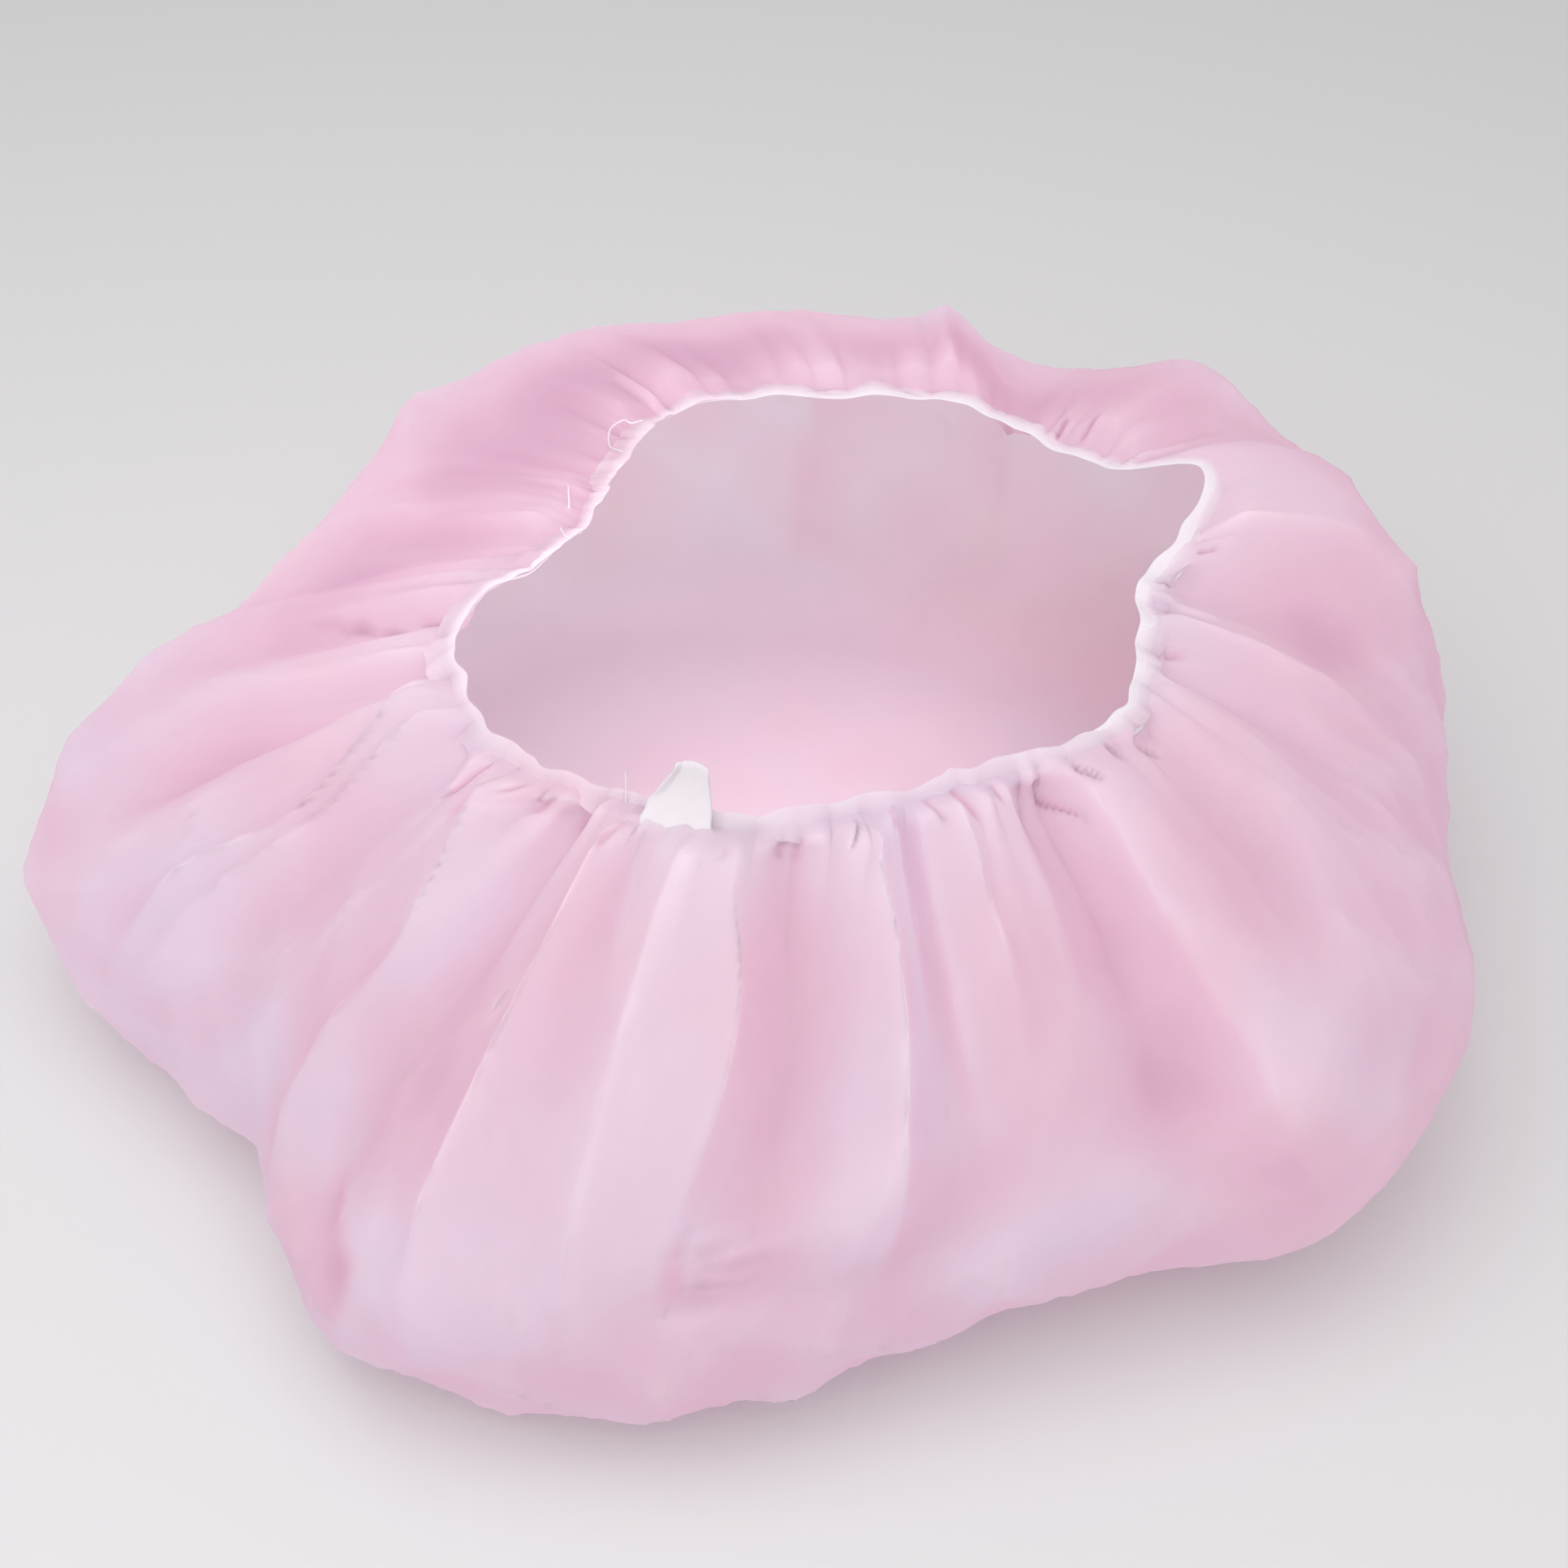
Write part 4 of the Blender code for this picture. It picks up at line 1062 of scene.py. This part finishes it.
across, along = np.meshgrid(np.linspace(-1, 1, LABEL_COLUMNS), np.linspace(0, 1, LABEL_ROWS), indexing="ij")
sheet = label(across, along).reshape(-1, 3)
quads = quad_grid(LABEL_COLUMNS, LABEL_ROWS, False, False)
texture = np.stack([across, along], -1).reshape(-1, 2) * LABEL_TEXTURE
tag = add_mesh("blank_label", sheet, quads.tolist(), texture)
give_wall(tag, TAG_THICKNESS, 1)
print("label:", len(tag.data.polygons), "faces")

# %% [markdown]
# Loose threads
# A few ends of sewing thread stand out of the hem, one of them in a knotted loop. Each is a thin
# tube along a smooth curve through a few points.

# %% The threads
THREAD_RADIUS = 0.17 * MM
THREAD_STEPS = 48
THREAD_SIDES = 6
# Each point of a thread: azimuth, and distance from the rim's edge and height in millimetres
THREADS = (
    (
        (153.5, 11, 1.6), (154.5, 8.2, 2.6), (154, 5, 2.8), (150.5, 5.2, 3.4), (148, 6.2, 3.6),
        (147.5, 8.2, 3), (149, 9.8, 1.8),
    ),
    ((161.5, 3.6, 1.2), (163.5, 2, 2), (166, -1.5, 1.4)),
    (
        (124.5, 1.5, 1.4), (126.5, 2.5, 2.4), (126.5, 4.2, 3), (128, 6.6, 2.6), (131, 5.4, 1.8),
        (133, 1.6, 1.2),
    ),
    ((239.6, 3, 1.2), (239.3, 0, 2), (239, -2.6, 3)),
)
KNOT_PLACE = 0.34
KNOT_LENGTH = 0.03
KNOT_SIZE = 1.8


def smooth_path(points, t):
    """A Catmull-Rom curve through the points: t runs from 0 at the first to 1 at the last."""
    points = np.concatenate([[2 * points[0] - points[1]], points, [2 * points[-1] - points[-2]]])
    place = t * (len(points) - 3)
    left = np.minimum(place.astype(int), len(points) - 4)
    u = (place - left)[:, None]
    a, b, c, d = (points[left + step] for step in range(4))
    return b + 0.5 * u * (c - a + u * (2 * a - 5 * b + 4 * c - d + u * (3 * (b - c) + d - a)))


def thread_tube(thread, knot):
    """Points, quads and end triangles of a thread: rings round the path, closed by two tips."""
    azimuth, width, height = np.array(thread).T
    t = np.linspace(0, 1, THREAD_STEPS)
    path = smooth_path(at_hem(np.radians(azimuth), width * MM, height * MM), t)
    ahead = unit(np.gradient(path, axis=0))
    side = unit(np.cross(ahead, UP + 0.01))
    other = np.cross(side, ahead)
    radius = THREAD_RADIUS * (1 + knot * KNOT_SIZE * np.exp(-(((t - KNOT_PLACE) / KNOT_LENGTH) ** 2)))
    turn = np.linspace(0, 2 * np.pi, THREAD_SIDES, endpoint=False)
    circle = np.cos(turn)[:, None] * side[:, None] + np.sin(turn)[:, None] * other[:, None]
    rings = path[:, None] + radius[:, None, None] * circle
    tips = [path[0] - ahead[0] * THREAD_RADIUS, path[-1] + ahead[-1] * THREAD_RADIUS]
    # Turned over, because the rings run the other way round than the sections of the cap
    quads = quad_grid(THREAD_STEPS, THREAD_SIDES, False, True)[:, [0, 3, 2, 1]]
    first = THREAD_STEPS * THREAD_SIDES
    sides = np.arange(THREAD_SIDES)
    after = np.roll(sides, -1)
    start = np.stack([after, sides, np.full(THREAD_SIDES, first)], -1)
    end = np.stack([sides, after, np.full(THREAD_SIDES, THREAD_SIDES + 1)], -1) + first - THREAD_SIDES
    return np.concatenate([rings.reshape(-1, 3), tips]), quads, np.concatenate([start, end])


vertices, faces = [], []
for number, thread in enumerate(THREADS):
    points, quads, triangles = thread_tube(thread, number == 0)
    base = len(vertices) * len(points)
    vertices.append(points)
    faces += (base + quads).tolist() + (base + triangles).tolist()
vertices = np.concatenate(vertices)
threads = add_mesh("loose_threads", vertices, faces, vertices[:, :2])
print("threads:", len(THREADS), "with", len(faces), "faces")

# %% [markdown]
# Materials
# The cloth is a thin, smooth, pale pink weave. Light comes through it, so the inside glows: a
# Translucent shader is mixed with the Principled one. Its colour wanders a little between a
# rosy and a bluish pink. Painted shade makes it darker on the shaded flank of a fold, in hollows,
# slits and creases, and painted light makes it lighter on the lit flank.

# %% The shared cloth effects


COLOURS = ("Main", "Rosy", "Cool", "Painted shade", "Painted deep shade", "Light", "White")
PATCH_SCALE = 22
THREADS_PER_METRE = 1800
TINT_MASK = (0.42, 0.72)
WEAVE_STRENGTH = 0.35
ROUGHNESS = 0.72
SHEEN = 0.10
SHEEN_ROUGHNESS = 0.45
SPECULAR = 0.25


def add_node(tree, kind, inputs, **settings):
    """A node with its settings. Each of its named or numbered inputs is linked if a socket is
    given for it, and otherwise set."""
    node = tree.nodes.new("ShaderNode" + kind)
    for name, value in settings.items():
        setattr(node, name, value)
    for name, value in inputs.items():
        if isinstance(value, bpy.types.NodeSocket):
            tree.links.new(value, node.inputs[name])
        else:
            node.inputs[name].default_value = value
    return node


def make_cloth_group():
    """Colour that wanders between three tints and takes the painted shade, painted light, whiteness
    and warmth stored on the cloth, and the height of a plain weave."""
    group = bpy.data.node_groups.new("Cloth tint, painted shade and weave", "ShaderNodeTree")
    new_socket = group.interface.new_socket
    for name in COLOURS:
        new_socket(name=name, in_out="INPUT", socket_type="NodeSocketColor")
    for name in ("Amount", "Patch size", "Threads per metre"):
        new_socket(name=name, in_out="INPUT", socket_type="NodeSocketFloat")
    new_socket(name="Colour", in_out="OUTPUT", socket_type="NodeSocketColor")
    new_socket(name="Weave", in_out="OUTPUT", socket_type="NodeSocketFloat")
    inside = group.nodes.new("NodeGroupInput").outputs
    outside = group.nodes.new("NodeGroupOutput").inputs
    place = add_node(group, "TexCoord", {})
    tint_and_shade_factors = []
    for name, shift in (("Rosy", 0), ("Cool", 7)):
        moved = add_node(group, "VectorMath", {0: place.outputs["Object"], 1: [shift] * 3})
        noise_inputs = {"Vector": moved.outputs[0], "Scale": inside["Patch size"], "Detail": 2}
        noise = add_node(group, "TexNoise", noise_inputs).outputs["Fac"]
        mask_inputs = {"Value": noise, "From Min": TINT_MASK[0], "From Max": TINT_MASK[1]}
        mask = add_node(group, "MapRange", mask_inputs, interpolation_type="SMOOTHSTEP").outputs["Result"]
        scaled = add_node(group, "Math", {0: mask, 1: inside["Amount"]}, operation="MULTIPLY")
        tint_and_shade_factors.append((name, scaled.outputs[0]))
    shades = add_node(group, "VertexColor", {}, layer_name="shades").outputs
    parts = add_node(group, "SeparateColor", {0: shades["Color"]}).outputs
    # The green value is painted shade, towards the shaded colour up to 1 and on towards the deeper shaded
    # colour up to 2; the blue value is painted light
    for name, source, low, high in (
        ("Rosy", shades["Alpha"], 0.5, 1),
        ("Cool", shades["Alpha"], 0.5, 0),
        ("Painted shade", parts["Green"], 0, 1),
        ("Painted deep shade", parts["Green"], 1, 2),
        ("Light", parts["Blue"], 0, 1),
        ("White", parts["Red"], 0, 1),
    ):
        ramp = add_node(group, "MapRange", {"Value": source, "From Min": low, "From Max": high})
        tint_and_shade_factors.append((name, ramp.outputs["Result"]))
    colour = inside["Main"]
    for name, factor in tint_and_shade_factors:
        mix = add_node(group, "Mix", {}, data_type="RGBA")
        for given, source in (("Factor", factor), ("A", colour), ("B", inside[name])):
            group.links.new(source, mix.inputs[given])
        colour = mix.outputs["Result"]
    group.links.new(colour, outside["Colour"])
    uv = add_node(group, "UVMap", {}, uv_map="cloth").outputs["UV"]
    scale_inputs = {0: uv, "Scale": inside["Threads per metre"]}
    scale = add_node(group, "VectorMath", scale_inputs, operation="SCALE").outputs[0]
    split = add_node(group, "SeparateXYZ", {0: scale}).outputs
    waves = []
    for axis in ("X", "Y"):
        angle = add_node(group, "Math", {0: split[axis], 1: np.pi}, operation="MULTIPLY")
        waves.append(add_node(group, "Math", {0: angle.outputs[0]}, operation="SINE").outputs[0])
    weave = add_node(group, "Math", dict(enumerate(waves)), operation="MULTIPLY")
    group.links.new(weave.outputs[0], outside["Weave"])
    return group


cloth_group = make_cloth_group()


def cloth_material(name, colours, amount, through, weave_depth):
    """Principled cloth mixed with a share, through, of Translucent. Its colours are in the order
    of COLOURS, amount is how much of the wandering tints shows, and the weave has its own depth."""
    material = bpy.data.materials.new(name)
    material.use_nodes = True
    tree = material.node_tree
    inputs = {socket: (*colour, 1) for socket, colour in zip(COLOURS, colours)}
    inputs |= {"Amount": amount, "Patch size": PATCH_SCALE, "Threads per metre": THREADS_PER_METRE}
    effect = add_node(tree, "Group", inputs, node_tree=cloth_group).outputs
    bump_inputs = {"Strength": WEAVE_STRENGTH, "Distance": weave_depth, "Height": effect["Weave"]}
    bump = add_node(tree, "Bump", bump_inputs).outputs["Normal"]
    shader = tree.nodes["Principled BSDF"]
    tree.links.new(effect["Colour"], shader.inputs["Base Color"])
    tree.links.new(bump, shader.inputs["Normal"])
    shader.inputs["Roughness"].default_value = ROUGHNESS
    shader.inputs["Sheen Weight"].default_value = SHEEN
    shader.inputs["Sheen Roughness"].default_value = SHEEN_ROUGHNESS
    shader.inputs["Specular IOR Level"].default_value = SPECULAR
    glow = add_node(tree, "BsdfTranslucent", {"Color": effect["Colour"]})
    mix = add_node(tree, "MixShader", {"Fac": through, 1: shader.outputs[0], 2: glow.outputs[0]})
    tree.links.new(mix.outputs[0], tree.nodes["Material Output"].inputs["Surface"])
    return material


# %% The four materials, each piece put under the root body, and the solids they stand for hidden
CLOTH_PINK = (0.976, 0.908, 0.952)
CLOTH_ROSY = (0.978, 0.858, 0.900)
CLOTH_COOL = (0.955, 0.925, 0.975)
# Painted shade, deeper painted shade and painted light of the cloth
CLOTH_PAINTED_SHADE = (0.962, 0.830, 0.895)
CLOTH_PAINTED_DEEP_SHADE = (0.87, 0.69, 0.79)
CLOTH_PAINTED_LIGHT = (0.984, 0.928, 0.966)
EDGE_WHITE = (0.95, 0.925, 0.95)
ELASTIC_WHITE = (0.93, 0.89, 0.925)
RIBBON = (0.86, 0.835, 0.86)
RIBBON_ROSY = (0.87, 0.81, 0.85)
RIBBON_MINT = (0.84, 0.85, 0.85)
pinks = (CLOTH_PINK, CLOTH_ROSY, CLOTH_COOL, CLOTH_PAINTED_SHADE, CLOTH_PAINTED_DEEP_SHADE, CLOTH_PAINTED_LIGHT, EDGE_WHITE)
whites = (ELASTIC_WHITE,) * 6 + (EDGE_WHITE,)
greys = (RIBBON, RIBBON_ROSY, RIBBON_MINT, RIBBON, RIBBON, RIBBON, EDGE_WHITE)
pink = cloth_material("pink cloth", pinks, amount=0.7, through=0.82, weave_depth=0.06 * MM)
pale = cloth_material("pale pink hem", pinks, amount=0.5, through=0.70, weave_depth=0.06 * MM)
white = cloth_material("white elastic", whites, amount=0, through=0.35, weave_depth=0.12 * MM)
ribbon = cloth_material("blank white ribbon", greys, amount=0.9, through=0.30, weave_depth=0.05 * MM)
for piece, material, node, slot in (
    (crown, pink, "crown", "pink_cloth"),
    (hem, pale, "hem", "pale_pink_hem"),
    (elastic, white, "elastic_band", "white_elastic"),
    (tag, ribbon, "tag", "white_label"),
    (threads, white, None, "white_elastic"),
):
    piece.data.materials.append(material)
    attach(piece, "root")
    if node:
        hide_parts(node)

# %% [markdown]
# Stage, light and camera
# A plain pale floor, a wide soft lamp above the front and a bright even surround, as in a light
# room. A weak lamp in the opening faces the inside of the cap at the back, where the surround
# hardly reaches. The camera looks down at the cap at 42.5 degrees.

# %% Stage
FLOOR_SIZE = 4.0
FLOOR_DROP = 0.2 * MM
FLOOR_TONE = 0.62
FLOOR_ROUGHNESS = 0.5
bpy.ops.mesh.primitive_plane_add(size=FLOOR_SIZE, location=(0, 0, -FLOOR_DROP))
floor = bpy.context.object
floor.name = "floor"
plain_floor = bpy.data.materials.new("pale floor")
plain_floor.use_nodes = True
floor_shader = plain_floor.node_tree.nodes["Principled BSDF"].inputs
floor_shader["Base Color"].default_value = (FLOOR_TONE, FLOOR_TONE, FLOOR_TONE, 1)
floor_shader["Roughness"].default_value = FLOOR_ROUGHNESS
floor.data.materials.append(plain_floor)


# %% Lamps and surround


def soft_lamp(name, location, aim, size, power, spread=180):
    """A round lamp that faces a point, with its light kept within a cone of spread degrees."""
    data = bpy.data.lights.new(name, "AREA")
    data.shape = "DISK"
    data.size = size
    data.energy = power
    data.spread = float(np.radians(spread))
    lamp = bpy.data.objects.new(name, data)
    lamp.location = location
    lamp.visible_camera = False
    lamp.rotation_euler = (Vector(aim) - Vector(location)).to_track_quat("-Z", "Y").to_euler()
    bpy.context.scene.collection.objects.link(lamp)


soft_lamp("overhead", location=(-0.12, -0.22, 0.67), aim=(0, 0, 0.04), size=1.1, power=4.6)
soft_lamp(
    "in the opening", location=(0.015, -0.025, 0.060), aim=(-0.05, 0.09, 0.025),
    size=0.07, power=0.038, spread=130,
)
WORLD_COLOUR = (1, 0.98, 1, 1)
WORLD_STRENGTH = 0.70
world = bpy.data.worlds.new("surround")
bpy.context.scene.world = world
world.use_nodes = True
background = world.node_tree.nodes["Background"].inputs
background["Color"].default_value = WORLD_COLOUR
background["Strength"].default_value = WORLD_STRENGTH

# %% Camera
VIEW_ANGLE = 40.0
ELEVATION = 42.5
DISTANCE = 0.4213
TARGET = Vector((0.0065, 0.0, 0.040))
elevation = np.radians(ELEVATION)
camera = bpy.data.objects.new("camera", bpy.data.cameras.new("camera"))
camera.data.angle = float(np.radians(VIEW_ANGLE))
back = Vector((0.0, -float(np.cos(elevation)), float(np.sin(elevation))))
camera.matrix_world = Matrix.Translation(TARGET + DISTANCE * back) @ Matrix.Rotation(
    float(np.pi / 2 - elevation), 4, "X"
)
bpy.context.scene.collection.objects.link(camera)
bpy.context.scene.camera = camera
bpy.context.scene.view_settings.view_transform = "Standard"
